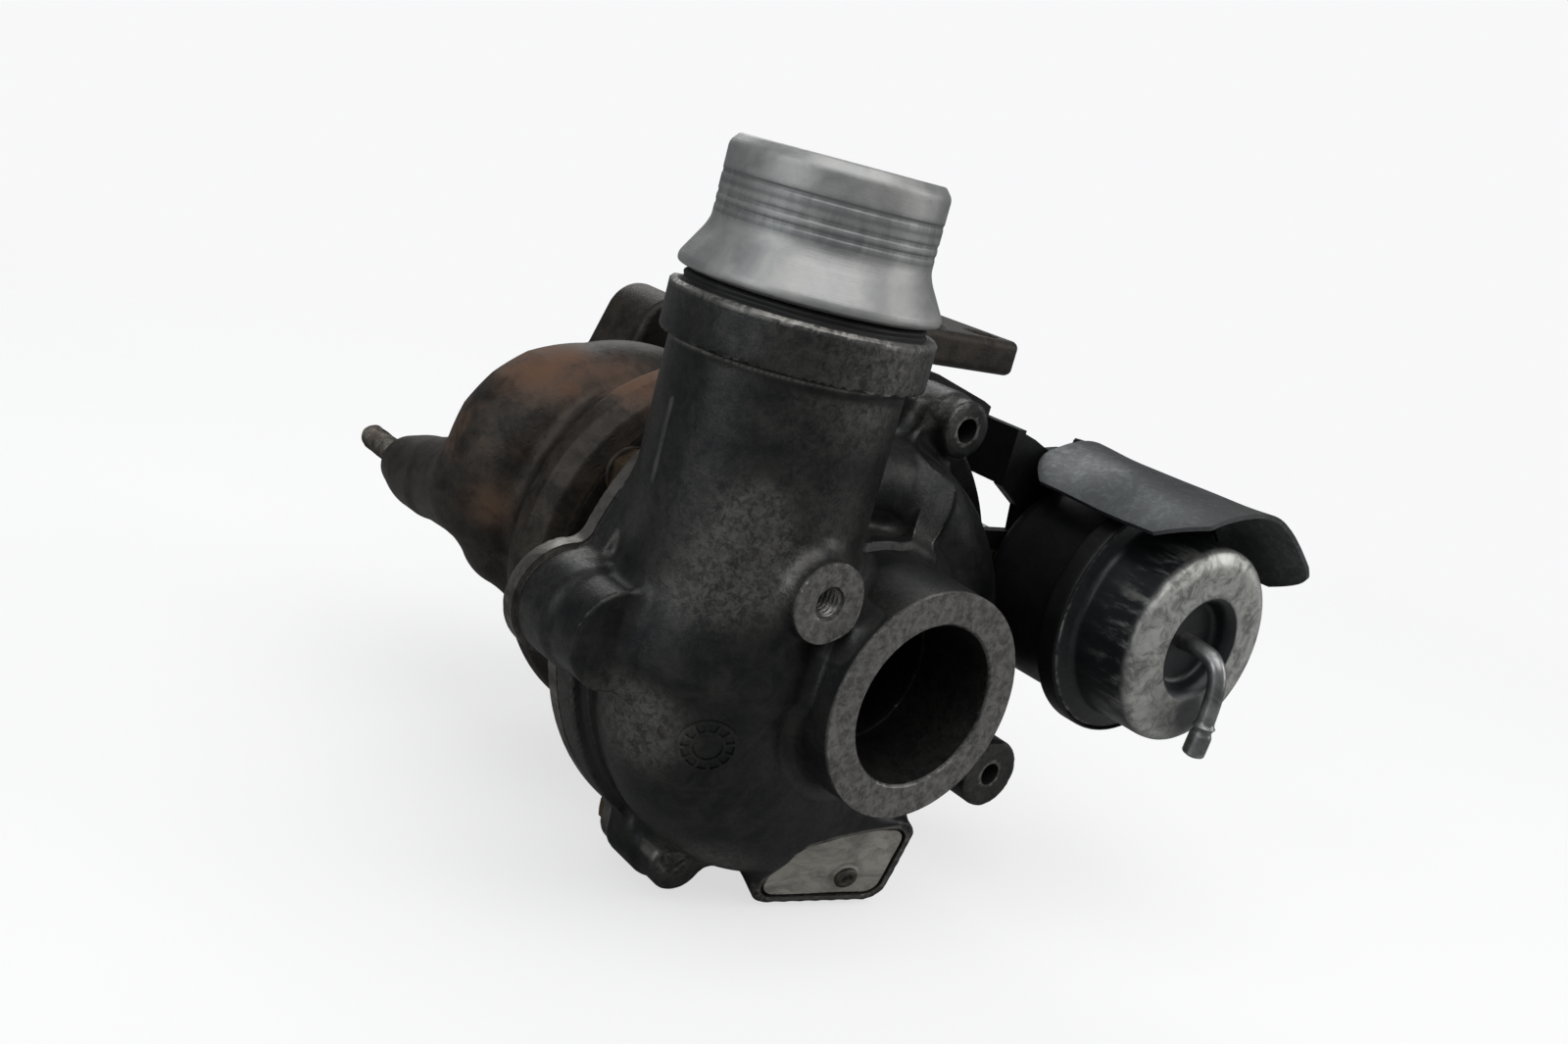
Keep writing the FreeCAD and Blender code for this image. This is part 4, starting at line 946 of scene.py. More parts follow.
def trimmed(line, share, count=10):
    """The line from a share of its length to the end, at evenly spaced points."""
    line = [np.array(q, float) for q in line]
    gaps = [0.0]
    for a, b in zip(line, line[1:]):
        gaps.append(gaps[-1] + np.linalg.norm(b - a))
    xs, ys = [q[0] for q in line], [q[1] for q in line]
    out = []
    for k in range(count + 1):
        s = gaps[-1] * (share + (1 - share) * k / count)
        out.append((np.interp(s, gaps, xs), np.interp(s, gaps, ys)))
    return out


def turbine_wheel():
    shaft = [(0, 20.8), (2.0, 20.8), (2.5, 21.3), (2.5, 54.5), (3.5, 54.5), (3.5, 79.6), (7.4, 79.6),
             (7.4, 81.4),
             (6.2, 81.4), (6.2, 82.9), (7.4, 82.9), (7.4, 85.6), (14.5, 86.0), (15.0, 86.8), (9.5, 90.0),
             (6.0, 95.5),
             (4.8, 102), (4.6, 107), (3.4, 108.4), (0, 108.4)]
    parts = [lathe("turbine_hub", shaft, "y", 0, 0, "rotor", 0.3, 96)]
    root_line = trimmed([(14.6, 86.4), (9.3, 89.8), (5.8, 95.3), (4.5, 102), (4.4, 104.5)], 0.0)
    tip_line = trimmed([(18.5, 86.4), (18.5, 92.3), (16.9, 96.0), (16.2, 99.5), (16.2, 103.5)], 0.0)
    for k in range(11):
        parts.append(vane("blade", root_line, tip_line, lambda t: 34 * t * t, 0.0, 1.1, "rotor",
                          360 * k / 11))
    return merge("turbine_wheel_and_shaft", parts)


# ---- materials ------------------------------------------------------------------------------------
class Graph:
    """Short calls for the nodes of one material."""

    def __init__(self, name):
        self.material = bpy.data.materials.new(name)
        self.material.use_nodes = True
        self.tree = self.material.node_tree
        self.shader = self.tree.nodes["Principled BSDF"]
        place = self.node("ShaderNodeTexCoord").outputs["Object"]
        scaled = self.node("ShaderNodeVectorMath", operation="SCALE")
        self.tree.links.new(place, scaled.inputs[0])
        scaled.inputs["Scale"].default_value = 1 / MM
        self.place = scaled.outputs[0]

    def node(self, kind, **settings):
        made = self.tree.nodes.new(kind)
        for key, value in settings.items():
            setattr(made, key, value)
        return made

    def put(self, socket, value):
        if isinstance(value, bpy.types.NodeSocket):
            self.tree.links.new(value, socket)
        elif isinstance(value, tuple) and len(value) == 3:
            socket.default_value = value + (1.0,) if len(socket.default_value) == 4 else value
        else:
            socket.default_value = value

    def noise(self, size, detail=4.0, rough=0.6, distort=0.0, stretch=None, seed=0.0):
        """Cloudy noise with features of about the size in millimetres."""
        place = self.place
        if stretch:
            moved = self.node("ShaderNodeMapping")
            self.put(moved.inputs["Vector"], place)
            moved.inputs["Scale"].default_value = stretch
            place = moved.outputs[0]
        made = self.node("ShaderNodeTexNoise", noise_dimensions="4D")
        self.put(made.inputs["Vector"], place)
        self.put(made.inputs["W"], seed)
        self.put(made.inputs["Scale"], 1.0 / size)
        self.put(made.inputs["Detail"], detail)
        self.put(made.inputs["Roughness"], rough)
        self.put(made.inputs["Distortion"], distort)
        return made.outputs["Fac"]

    def specks(self, size, seed=0.0):
        made = self.node("ShaderNodeTexVoronoi", voronoi_dimensions="4D")
        self.put(made.inputs["Vector"], self.place)
        self.put(made.inputs["W"], seed)
        self.put(made.inputs["Scale"], 1.0 / size)
        return made.outputs["Distance"]

    def ramp(self, value, low, high, out_low=0.0, out_high=1.0):
        made = self.node("ShaderNodeMapRange", interpolation_type="SMOOTHSTEP")
        for socket, number in zip(made.inputs, (value, low, high, out_low, out_high)):
            self.put(socket, number)
        return made.outputs[0]

    def calc(self, operation, a, b=0.0, clamp=False):
        made = self.node("ShaderNodeMath", operation=operation, use_clamp=clamp)
        self.put(made.inputs[0], a)
        self.put(made.inputs[1], b)
        return made.outputs[0]

    def mix(self, share, a, b):
        made = self.node("ShaderNodeMix", data_type="RGBA", clamp_factor=True)
        self.put(made.inputs[0], share)
        self.put(made.inputs[6], a)
        self.put(made.inputs[7], b)
        return made.outputs[2]

    def mark(self, name):
        return self.node("ShaderNodeAttribute", attribute_name=name).outputs["Fac"]

    def ring_place(self, axis, a, b):
        """(distance from a line along the axis, place along it) in millimetres."""
        split = self.node("ShaderNodeSeparateXYZ")
        self.put(split.inputs[0], self.place)
        names = {"x": (1, 2, 0), "y": (0, 2, 1), "z": (0, 1, 2)}[axis]
        u = self.calc("SUBTRACT", split.outputs[names[0]], float(a))
        v = self.calc("SUBTRACT", split.outputs[names[1]], float(b))
        radial = self.calc("SQRT", self.calc("ADD", self.calc("MULTIPLY", u, u), self.calc("MULTIPLY", v,
                                                                                           v)))
        return radial, split.outputs[names[2]]

    def rings(self, value, size, seed=0.0):
        """Noise that only changes with one value: turning marks."""
        made = self.node("ShaderNodeTexNoise", noise_dimensions="1D")
        self.put(made.inputs["W"], self.calc("ADD", self.calc("DIVIDE", value, size), seed))
        self.put(made.inputs["Scale"], 1.0)
        self.put(made.inputs["Detail"], 3.0)
        return made.outputs["Fac"]

    def near(self, spots):
        """1 close to the listed (x, y, z, reach) spots, fading to 0 at their reach."""
        total = 0.0
        for x, y, z, reach in spots:
            away = self.node("ShaderNodeVectorMath", operation="DISTANCE")
            self.put(away.inputs[0], self.place)
            away.inputs[1].default_value = (x, y, z)
            total = self.calc("ADD", total, self.ramp(away.outputs["Value"], reach, 0.25 * reach),
                              clamp=True)
        return total

    def finish(self, colour, metal, rough, height=None, depth=0.05, strength=1.0):
        self.put(self.shader.inputs["Base Color"], colour)
        self.put(self.shader.inputs["Metallic"], metal)
        self.put(self.shader.inputs["Roughness"], rough)
        if height is not None:
            bump = self.node("ShaderNodeBump")
            self.put(bump.inputs["Height"], height)
            self.put(bump.inputs["Distance"], depth * MM)
            self.put(bump.inputs["Strength"], strength)
            self.put(self.shader.inputs["Normal"], bump.outputs[0])
        return self.material


def grey(value, tint=(1.0, 1.0, 1.0)):
    return tuple(value * c for c in tint)


# Spots where the cover casting is made lighter: partly handling wear, partly painted highlight and sheen
# where light falls.
RUBBED_AND_LIT_SPOTS = ((-21.8, 6.5, 57.6, 20.0), (-45.0, 21.7, -12.0, 13.0), (-38.5, 11.5, 20.0, 13.0), 
                (14.0, 20.0, 58.0, 9.0), (15.5, 32.0, 47.7, 9.0), (-22.0, 22.0, -42.0, 13.0),
                (-39.0, 12.0, 29.0, 9.0))


def dark_cast_aluminium():
    """Oily die casting worn by handling: near black, scratched, rubbed lighter on its edges and in listed
    spots that are partly painted highlight, and darkened in its hollows as painted shade.
    """
    g = Graph("dark_cast_aluminium")
    broad = g.noise(30, 4, 0.55, 0.3)
    blotch = g.noise(5, 6, 0.72, 0.5, seed=2.0)
    grain = g.noise(0.45, 3, 0.6, seed=5.0)
    fine = g.noise(1.3, 6, 0.75, 0.6, seed=11.0)
    scratch = g.ramp(g.noise(0.9, 2, 0.5, 0.0, (5.0, 1.0, 0.22), 6.0), 0.70, 0.74)
    edge = g.ramp(g.mark("edge"), 0.10, 0.45)
    hollow = g.ramp(g.mark("cavity"), 0.05, 0.7)
    # Partly painted highlight: the listed spots lighten the colour where light falls, on top of the handling
    # wear.
    handled_and_lit = g.calc("ADD", g.calc("MULTIPLY", g.ramp(broad, 0.46, 0.66), 0.35), g.near(RUBBED_AND_LIT_SPOTS),
                     clamp=True)
    rubbed_and_lit = g.calc("MULTIPLY", handled_and_lit, g.ramp(fine, 0.36, 0.64, 0.15, 1.0))
    rub_and_sheen = g.calc("ADD", g.calc("MULTIPLY", rubbed_and_lit, 0.55), g.calc("MULTIPLY", edge, g.ramp(blotch, 0.3, 0.6,
                                                                                       0.35, 0.8)))
    rub_and_sheen = g.calc("ADD", rub_and_sheen, g.calc("MULTIPLY", scratch, 0.10))
    rub_and_sheen = g.calc("MULTIPLY", rub_and_sheen, g.ramp(hollow, 0.0, 0.5, 1.0, 0.1), clamp=True)
    oily = g.mix(g.ramp(blotch, 0.35, 0.65), grey(0.018, (0.95, 1.0, 1.05)), grey(0.038,
                                                                                  (1.02, 1.0, 0.96)))
    colour = g.mix(rub_and_sheen, oily, grey(0.26, (1.03, 1.0, 0.92)))
    # Painted shade: the colour goes toward near black in the hollows, where shade falls.
    colour = g.mix(g.calc("MULTIPLY", hollow, 0.7), colour, grey(0.012, (1.05, 1.0, 0.95)))
    face = g.ramp(g.noise(1.6, 6, 0.75, 0.4, seed=9.0), 0.35, 0.65)
    cut_colour = g.mix(face, grey(0.10, (1.03, 1.0, 0.94)), grey(0.26, (1.02, 1.0, 0.94)))
    machined = g.mark("machined")
    colour = g.mix(machined, colour, cut_colour)
    rough = g.ramp(rub_and_sheen, 0.0, 1.0, 0.40, 0.36)
    rough = g.calc("ADD", rough, g.ramp(grain, 0.3, 0.7, -0.05, 0.09))
    metal = g.ramp(hollow, 0.2, 0.8, 0.8, 0.2)
    height = g.calc("ADD", g.calc("MULTIPLY", grain, 0.55), g.calc("MULTIPLY", fine, 0.8))
    height = g.calc("MULTIPLY", height, g.calc("SUBTRACT", 1.0, g.calc("MULTIPLY", machined, 0.7)))
    return g.finish(colour, metal, rough, height, 0.07)


def plate_aluminium():
    """Lighter bare casting of the backplate, brown-stained by heat, darkened in its hollows as painted shade.
    """
    g = Graph("plate_aluminium")
    blotch = g.noise(6, 6, 0.7, 0.5)
    fine = g.noise(0.7, 4, 0.6, seed=3.0)
    hollow = g.ramp(g.mark("cavity"), 0.1, 0.9)
    colour = g.mix(g.ramp(blotch, 0.35, 0.65), grey(0.05, (1.12, 1.0, 0.86)), grey(0.17,
                                                                                   (1.06, 1.0, 0.92)))
    # Painted shade: near black in the hollows.
    colour = g.mix(g.calc("MULTIPLY", hollow, 0.85), colour, (0.010, 0.009, 0.007))
    return g.finish(colour, 0.75, g.ramp(blotch, 0.3, 0.7, 0.5, 0.38), fine, 0.05)


RUST_SPOTS = ((-34.0, 96.0, 33.0, 14.0), (-40.0, 92.0, 5.0, 9.0), (-20.0, 84.0, 38.0, 12.0))


def cast_iron(name, dull, rust, bright, share):
    """Heat-browned iron: rust bloom over dark scale, darkened in the hollows as painted shade; share adds
    bloom.
    """
    g = Graph(name)
    broad = g.noise(24, 5, 0.6, 0.6, seed=1.0)
    blotch = g.noise(6, 7, 0.72, 0.5, seed=4.0)
    grain = g.noise(0.6, 4, 0.7, seed=6.0)
    pits = g.specks(1.1, 2.0)
    hollow = g.ramp(g.mark("cavity"), 0.05, 0.8)
    edge = g.ramp(g.mark("edge"), 0.12, 0.7)
    bloom = g.calc("MULTIPLY", g.ramp(broad, 0.5 - share, 0.72), g.ramp(blotch, 0.3, 0.62, 0.25, 1.0))
    bloom = g.calc("ADD", bloom, g.calc("MULTIPLY", g.near(RUST_SPOTS), g.ramp(blotch, 0.25, 0.6, 0.3,
                                                                               1.0)), clamp=True)
    colour = g.mix(g.ramp(blotch, 0.3, 0.7), dull, grey(0.040, (1.22, 1.0, 0.80)))
    colour = g.mix(bloom, colour, rust)
    colour = g.mix(g.calc("MULTIPLY", edge, 0.5), colour, bright)
    # Painted shade: near black in the hollows, where shade falls.
    colour = g.mix(g.calc("MULTIPLY", hollow, 0.8), colour, (0.008, 0.006, 0.005))
    colour = g.mix(g.ramp(grain, 0.55, 0.75, 0.0, 0.35), colour, bright)
    height = g.calc("ADD", g.calc("MULTIPLY", grain, 0.7), g.calc("MULTIPLY", g.ramp(pits, 0.0, 0.35),
                                                                  0.5))
    rough = g.ramp(bloom, 0.0, 1.0, 0.52, 0.74)
    return g.finish(colour, g.ramp(bloom, 0.0, 0.6, 0.55, 0.15), rough, height, 0.14)


def cast_iron_brown():
    return cast_iron("cast_iron_brown", (0.0085, 0.0062, 0.0052), (0.118, 0.058, 0.030),
                     (0.062, 0.044, 0.031), -0.04)


def cast_iron_dark():
    return cast_iron("cast_iron_dark", (0.012, 0.011, 0.010), (0.035, 0.020, 0.012), (0.07, 0.058, 0.046),
                     -0.08)


def bright_aluminium():
    """Lathe-turned connector: satin, with a stained band and three fine lines where the hose sat."""
    g = Graph("bright_aluminium")
    _radial, along = g.ring_place("z", TUBE_X, TUBE_Y)
    marks = g.rings(along, 0.14)
    wide = g.rings(along, 1.3, 7.0)
    smear = g.noise(6, 5, 0.6, 0.6)
    streak = g.noise(3.0, 5, 0.7, 0.3, (1.0, 1.0, 0.35), 3.0)
    band = g.calc("MULTIPLY", g.ramp(along, 73.6, 74.6), g.ramp(along, 82.6, 81.4))
    dark = g.calc("MULTIPLY", band, g.ramp(g.calc("ADD", g.calc("MULTIPLY", wide, 0.5), g.calc("MULTIPLY",
                                                                                               streak,
                                                                                               0.5)),
                                           0.38, 0.62, 0.20, 0.80))
    for line in CONNECTOR_LINES:
        gap = g.calc("ABSOLUTE", g.calc("SUBTRACT", along, line + 0.4))
        dark = g.calc("MAXIMUM", dark, g.calc("MULTIPLY", g.ramp(gap, 0.45, 0.15), g.ramp(streak, 0.3,
                                                                                          0.6, 0.2, 0.8)))
    base = g.mix(g.ramp(smear, 0.3, 0.7), grey(0.31), grey(0.42, (1.0, 1.0, 0.97)))
    colour = g.mix(g.calc("MULTIPLY", dark, 0.8), base, grey(0.11, (0.92, 1.02, 1.04)))
    scuff = g.ramp(g.noise(1.4, 5, 0.75, 0.5, (1.0, 1.0, 2.5), 8.0), 0.60, 0.70)
    colour = g.mix(g.calc("MULTIPLY", scuff, 0.35), colour, grey(0.16, (1.05, 1.0, 0.9)))
    rough = g.calc("ADD", g.ramp(smear, 0.3, 0.7, 0.42, 0.50), g.calc("MULTIPLY", dark, 0.08))
    return g.finish(colour, 0.70, rough, g.calc("ADD", marks, g.calc("MULTIPLY", wide, 0.5)), 0.03)


def turned_metal(name, dark, light, axis, a, b, rough, metal=1.0, mark=0.25, depth=0.02, blot=5.0):
    """Machined metal with turning marks round one axis and stains."""
    g = Graph(name)
    radial, along = g.ring_place(axis, a, b)
    marks = g.rings(g.calc("ADD", radial, along), mark)
    stain = g.noise(blot, 6, 0.7, 0.5)
    colour = g.mix(g.ramp(stain, 0.35, 0.65), dark, light)
    return g.finish(colour, metal, g.ramp(stain, 0.3, 0.7, rough + 0.12, rough - 0.04), marks, depth)


def rolled_steel(name, dark, light, rough, metal=0.9, rust=0.0, size=8.0, depth=0.04):
    """Plain steel with mottled scale, fine grain and some rust."""
    g = Graph(name)
    blotch = g.noise(size, 6, 0.68, 0.5)
    grain = g.noise(0.5, 4, 0.6, seed=3.0)
    spots = g.ramp(g.noise(3.0, 7, 0.75, 0.4, seed=7.0), 0.66 - 0.2 * rust, 0.74 - 0.1 * rust)
    colour = g.mix(g.ramp(blotch, 0.32, 0.68), dark, light)
    colour = g.mix(g.calc("MULTIPLY", spots, min(1.0, 0.25 + rust)), colour, (0.075, 0.034, 0.016))
    return g.finish(colour, g.ramp(spots, 0.0, 1.0, metal, metal * 0.4), g.ramp(blotch, 0.3, 0.7,
                                                                                rough + 0.1,
                                                                                rough - 0.05),
                    grain, depth)


def shield_steel():
    """Dull bluish sheet with heat mottling, lighter spatters and scratches."""
    g = Graph("shield_steel")
    broad = g.noise(20, 5, 0.6, 0.5)
    cells = g.noise(2.2, 5, 0.75, 0.8, seed=2.0)
    scratch = g.ramp(g.noise(1.1, 3, 0.6, 0.0, (0.35, 1.0, 7.0), 5.0), 0.66, 0.70)
    split = g.node("ShaderNodeSeparateXYZ")
    g.put(split.inputs[0], g.place)
    leftness = g.ramp(split.outputs[0], float(CAN_X) + 8, float(CAN_X) - 16)
    colour = g.mix(g.ramp(broad, 0.3, 0.7), (0.045, 0.049, 0.049), (0.095, 0.100, 0.096))
    colour = g.mix(g.calc("MULTIPLY", leftness, 0.38), colour, (0.125, 0.135, 0.142))
    colour = g.mix(g.ramp(cells, 0.45, 0.68, 0.0, 0.40), colour, (0.20, 0.22, 0.225))
    colour = g.mix(g.calc("MULTIPLY", scratch, 0.4), colour, (0.30, 0.30, 0.28))
    return g.finish(colour, 0.75, g.ramp(cells, 0.3, 0.7, 0.52, 0.38), cells, 0.05)


def cap_steel():
    """Black painted pressing, its face rubbed to light grey metal, the recess still black."""
    g = Graph("cap_steel")
    radial, along = g.ring_place("y", CAN_X, CAN_Z)
    wear = g.noise(3.5, 7, 0.72, 0.8)
    streak = g.noise(3.0, 5, 0.7, 0.4, (1.0, 0.25, 1.0), 4.0)
    face = g.calc("MULTIPLY", g.ramp(along, float(CAP_FACE) + 3.0, float(CAP_FACE) + 0.5), g.ramp(radial,
                                                                                                  10.8,
                                                                                                  11.4))
    # The rubbed face is kept black in a patch low down, just behind the hanging end of the hose nipple.
    dark_low_patch = g.near([(float(CAN_X) + 3, float(CAP_FACE), float(CAN_Z) - 14, 10.0)])
    face = g.calc("MULTIPLY", face, g.calc("SUBTRACT", 1.0, g.calc("MULTIPLY", dark_low_patch, 0.95)))
    shoulder = g.calc("MULTIPLY", g.ramp(along, float(CAP_FACE) + 13, float(CAP_FACE) + 3), g.ramp(radial,
                                                                                                   18.5,
                                                                                                   20.5))
    bare = g.calc("MULTIPLY", face, g.ramp(wear, 0.34, 0.55, 0.45, 1.0))
    bare = g.calc("MAXIMUM", bare, g.calc("MULTIPLY", shoulder, g.ramp(streak, 0.48, 0.66, 0.0, 0.35)))
    rim = g.calc("MULTIPLY", g.ramp(radial, 24.0, 24.8), g.ramp(wear, 0.45, 0.65, 0.0, 0.5))
    bare = g.calc("MAXIMUM", bare, rim)
    paint = g.mix(g.ramp(streak, 0.3, 0.7), (0.008, 0.009, 0.010), (0.020, 0.021, 0.023))
    colour = g.mix(bare, paint, g.mix(g.ramp(wear, 0.35, 0.7), (0.38, 0.38, 0.355), (0.62, 0.62, 0.585)))
    return g.finish(colour, g.ramp(bare, 0.0, 1.0, 0.25, 0.8), g.ramp(bare, 0.0, 1.0, 0.38, 0.46), wear,
                    0.05)


def yellow_zinc():
    """Zinc plate gone brassy and dirty."""
    g = Graph("yellow_zinc")
    dirt = g.noise(2.5, 6, 0.7, 0.6)
    colour = g.mix(g.ramp(dirt, 0.35, 0.65), (0.19, 0.145, 0.090), (0.085, 0.062, 0.040))
    return g.finish(colour, 0.85, g.ramp(dirt, 0.3, 0.7, 0.34, 0.5), g.noise(0.4, 3, 0.6), 0.02)


def rubber():
    g = Graph("rubber")
    dust = g.noise(3.0, 6, 0.7, 0.4)
    colour = g.mix(g.ramp(dust, 0.45, 0.75), (0.006, 0.006, 0.006), (0.022, 0.021, 0.020))
    return g.finish(colour, 0.0, g.ramp(dust, 0.3, 0.7, 0.55, 0.72), g.noise(0.5, 3, 0.6), 0.03)


def stained_plate():
    """Thin aluminium label, blank, brushed and stained."""
    g = Graph("stained_plate")
    brushed = g.noise(0.7, 4, 0.6, 0.0, (0.12, 1.0, 1.0), 2.0)
    stain = g.noise(5.0, 6, 0.7, 1.2, (0.5, 1.0, 1.0), 4.0)
    spots = g.ramp(g.noise(1.2, 5, 0.75, seed=8.0), 0.60, 0.70)
    colour = g.mix(g.ramp(stain, 0.35, 0.62), (0.30, 0.285, 0.25), (0.56, 0.54, 0.48))
    colour = g.mix(g.calc("MULTIPLY", spots, 0.35), colour, (0.06, 0.055, 0.048))
    return g.finish(colour, 0.5, g.ramp(stain, 0.3, 0.7, 0.55, 0.4), brushed, 0.02)


def floor_finish():
    """Pale floor: evenly bright to the camera, plain grey to everything else, fading out far away."""
    g = Graph("pale_floor")
    haze = g.noise(300, 3, 0.5)
    seen = g.node("ShaderNodeLightPath").outputs["Is Camera Ray"]
    away, _height = g.ring_place("z", 0.0, 50.0)
    made = g.finish(g.mix(haze, grey(0.30), grey(0.33)), 0.0, 0.9)
    g.put(g.shader.inputs["Emission Color"], grey(1.0))
    g.put(g.shader.inputs["Emission Strength"], g.calc("MULTIPLY", seen, 0.66))
    g.put(g.shader.inputs["Alpha"], g.ramp(away, 700.0, 260.0))
    return made


def make_materials():
    iron = {"cast_iron_brown": cast_iron_brown(), "cast_iron_dark": cast_iron_dark()}
    made = {
        "dark_cast_aluminium": dark_cast_aluminium(),
        "bright_aluminium": bright_aluminium(),
        "plate_aluminium": plate_aluminium(),
        "wheel_aluminium": turned_metal("wheel_aluminium", grey(0.42), grey(0.62), "y", 0, 0, 0.28),
        "turbine_alloy": rolled_steel("turbine_alloy", grey(0.06, (1.1, 1.0, 0.9)), grey(0.14,
                                                                                         (1.1, 1.0, 0.9)),
                                                                                         0.45),
        "steel": turned_metal("steel", grey(0.30), grey(0.48), "y", CAN_X, CAN_Z, 0.30),
        "oxidised_steel": rolled_steel("oxidised_steel", grey(0.035, (1.1, 1, .9)), grey(0.13,
                                                                                         (1.1, 1, .88)),
                                                                                         0.5, 0.8, 0.8,
                                                                                         4),
        "yellow_zinc": yellow_zinc(),
        "black_steel": rolled_steel("black_steel", grey(0.009), grey(0.024, (1, 1, 1.02)), 0.42, 0.6,
                                    0.1),
        "cap_steel": cap_steel(),
        "shield_steel": shield_steel(),
        "bronze": turned_metal("bronze", (0.30, 0.17, 0.07), (0.45, 0.28, 0.12), "y", 0, 0, 0.32),
        "rubber": rubber(),
        "stained_plate": stained_plate(),
        "nipple_steel": rolled_steel("nipple_steel", grey(0.12), grey(0.34), 0.36, 0.9, 0.0, 5.0),
    }
    made.update(iron)
    return made


def dress(piece, material, slot_name=None):
    piece.data.materials.clear()
    piece.data.materials.append(material)
    return piece


def stand_in(piece, materials, finish, node, slot_name=None):
    """Gives a piece its finish and shows it in place of the CAD node."""
    dress(piece, materials[finish], slot_name or finish)
    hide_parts(node)


# ---- the machine, group by group ------------------------------------------------------------------
def build_compressor(materials):
    aluminium = materials["dark_cast_aluminium"]
    cover = cast("compressor_cover_casting", cover_field, (-61, -0.6, -60), (59, 44.6, COLLAR_TOP + 0.6),
                 "housing",
                 cover_machined)
    sleeve = threaded_sleeve("sleeve", BOSS_X, BOSS_Z, BOSS_FACE + 0.8, 8.0, "housing")
    tag(sleeve, "machined", np.ones(len(sleeve.data.vertices)))
    dress(cover, aluminium)
    dress(sleeve, aluminium)
    ring = dress(mould_ring("housing"), aluminium)
    cover = merge("compressor_cover_casting", [cover, ring, sleeve])
    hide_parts("compressor_cover")

    back = cast("compressor_backplate_casting", backplate_field, (-62, 40.5, -54),
                (58, BACKPLATE_BACK + 0.5, 54), "housing")
    stand_in(back, materials, "plate_aluminium", "compressor_backplate", "dark_cast_aluminium")

    groove = 0.12
    profile = [(NECK_BORE, 54.0), (TUBE_BORE - 0.1, 54.0), (TUBE_BORE - 0.1, SEAL_TOP + 0.1),
               (20.9, SEAL_TOP + 0.1),
               (FLARE_R, SEAL_TOP + 0.8), (FLARE_R, SEAL_TOP + 2.1), (NECK_R + 0.7, 71.6), (NECK_R, 73.4)]
    for low in CONNECTOR_LINES:
        profile += [(NECK_R, low), (NECK_R - groove, low + 0.25), (NECK_R - groove, low + 0.75),
                    (NECK_R, low + 1.0)]
    profile += [(NECK_R, NECK_TOP - 1.6), (NECK_R - 1.4, NECK_TOP), (NECK_BORE + 0.7, NECK_TOP),
                (NECK_BORE, NECK_TOP - 0.7)]
    connector = lathe("outlet_connector_turned", profile, "z", MOUTH_X, TUBE_Y, "housing", 0.8, 192)
    stand_in(connector, materials, "bright_aluminium", "outlet_connector")

    ring = [(TUBE_BORE + 0.1, COLLAR_TOP), (21.9, COLLAR_TOP), (21.2, SEAL_TOP - 1.4),
            (21.6, SEAL_TOP - 0.5),
            (20.8, SEAL_TOP), (TUBE_BORE + 0.1, SEAL_TOP)]

    def ragged(angle, _along, r):
        return 0.0 if r < TUBE_BORE + 1 else 0.35 * math.sin(7 * angle + 1) * math.sin(3 * angle)
    seal = lathe("outlet_seal_rubber", ring, "z", MOUTH_X, TUBE_Y, "housing", 0.5, 144, ragged)
    stand_in(seal, materials, "rubber", "outlet_seal_ring")


def build_label(materials):
    """Blank label and its hollow rivet on the pad of the cover."""
    axes = plate_axes()

    def place(q):
        return np.asarray(q) @ axes.T + PLATE_CENTRE

    def field(p):
        u, v, w = on_plate(p)
        wave = 0.12 * np.sin(u * 0.23) * np.cos(v * 0.3)
        flat = rectangle(u, v, PLATE_SIZE[0] / 2, PLATE_SIZE[1] / 2, 3.0)
        plate = extrude(flat, w - wave - 0.12, 0.0, PLATE_T, 0.15)
        dimple = np.hypot(u - RIVET_U, v - RIVET_V)
        plate = plate + 0.25 * np.exp(-((dimple - 3.2) / 0.7) ** 2)
        return carve(plate, extrude(dimple - 1.3, w, -3, 4), 0.1)
    reach = np.abs(axes) @ np.array([PLATE_SIZE[0] / 2, PLATE_SIZE[1] / 2, 1.5]) + 0.5
    points, quads = skin(field, PLATE_CENTRE - reach, PLATE_CENTRE + reach, FITTING_STEP)
    label = mesh_object("nameplate_blank", points, quads, "housing", 35.0)
    stand_in(label, materials, "stained_plate", "nameplate", "plate_aluminium")

    profile = soften([(0, -5.5), (1.2, -5.5), (1.2, PLATE_T), (2.5, PLATE_T), (2.5, 1.5), (2.0, 2.0),
                      (1.3, 1.9), (1.0, 1.0),
                      (0, 0.9)], 0.3)
    points, faces, turns = [], [], 48
    for k in range(turns):
        c, s = math.cos(2 * math.pi * k / turns), math.sin(2 * math.pi * k / turns)
        for r, w in profile:
            points.append(place((RIVET_U + r * c, RIVET_V + r * s, w)))
    count = len(profile)
    for k in range(turns):
        for j in range(count):
            here, there = k * count + j, (k + 1) % turns * count + j
            faces.append((here, there, (k + 1) % turns * count + (j + 1) % count,
                          k * count + (j + 1) % count))
    rivet = mesh_object("nameplate_rivet_head", points, faces, "housing", 35.0)
    weld(rivet)
    stand_in(rivet, materials, "oxidised_steel", "nameplate_rivet", "steel")


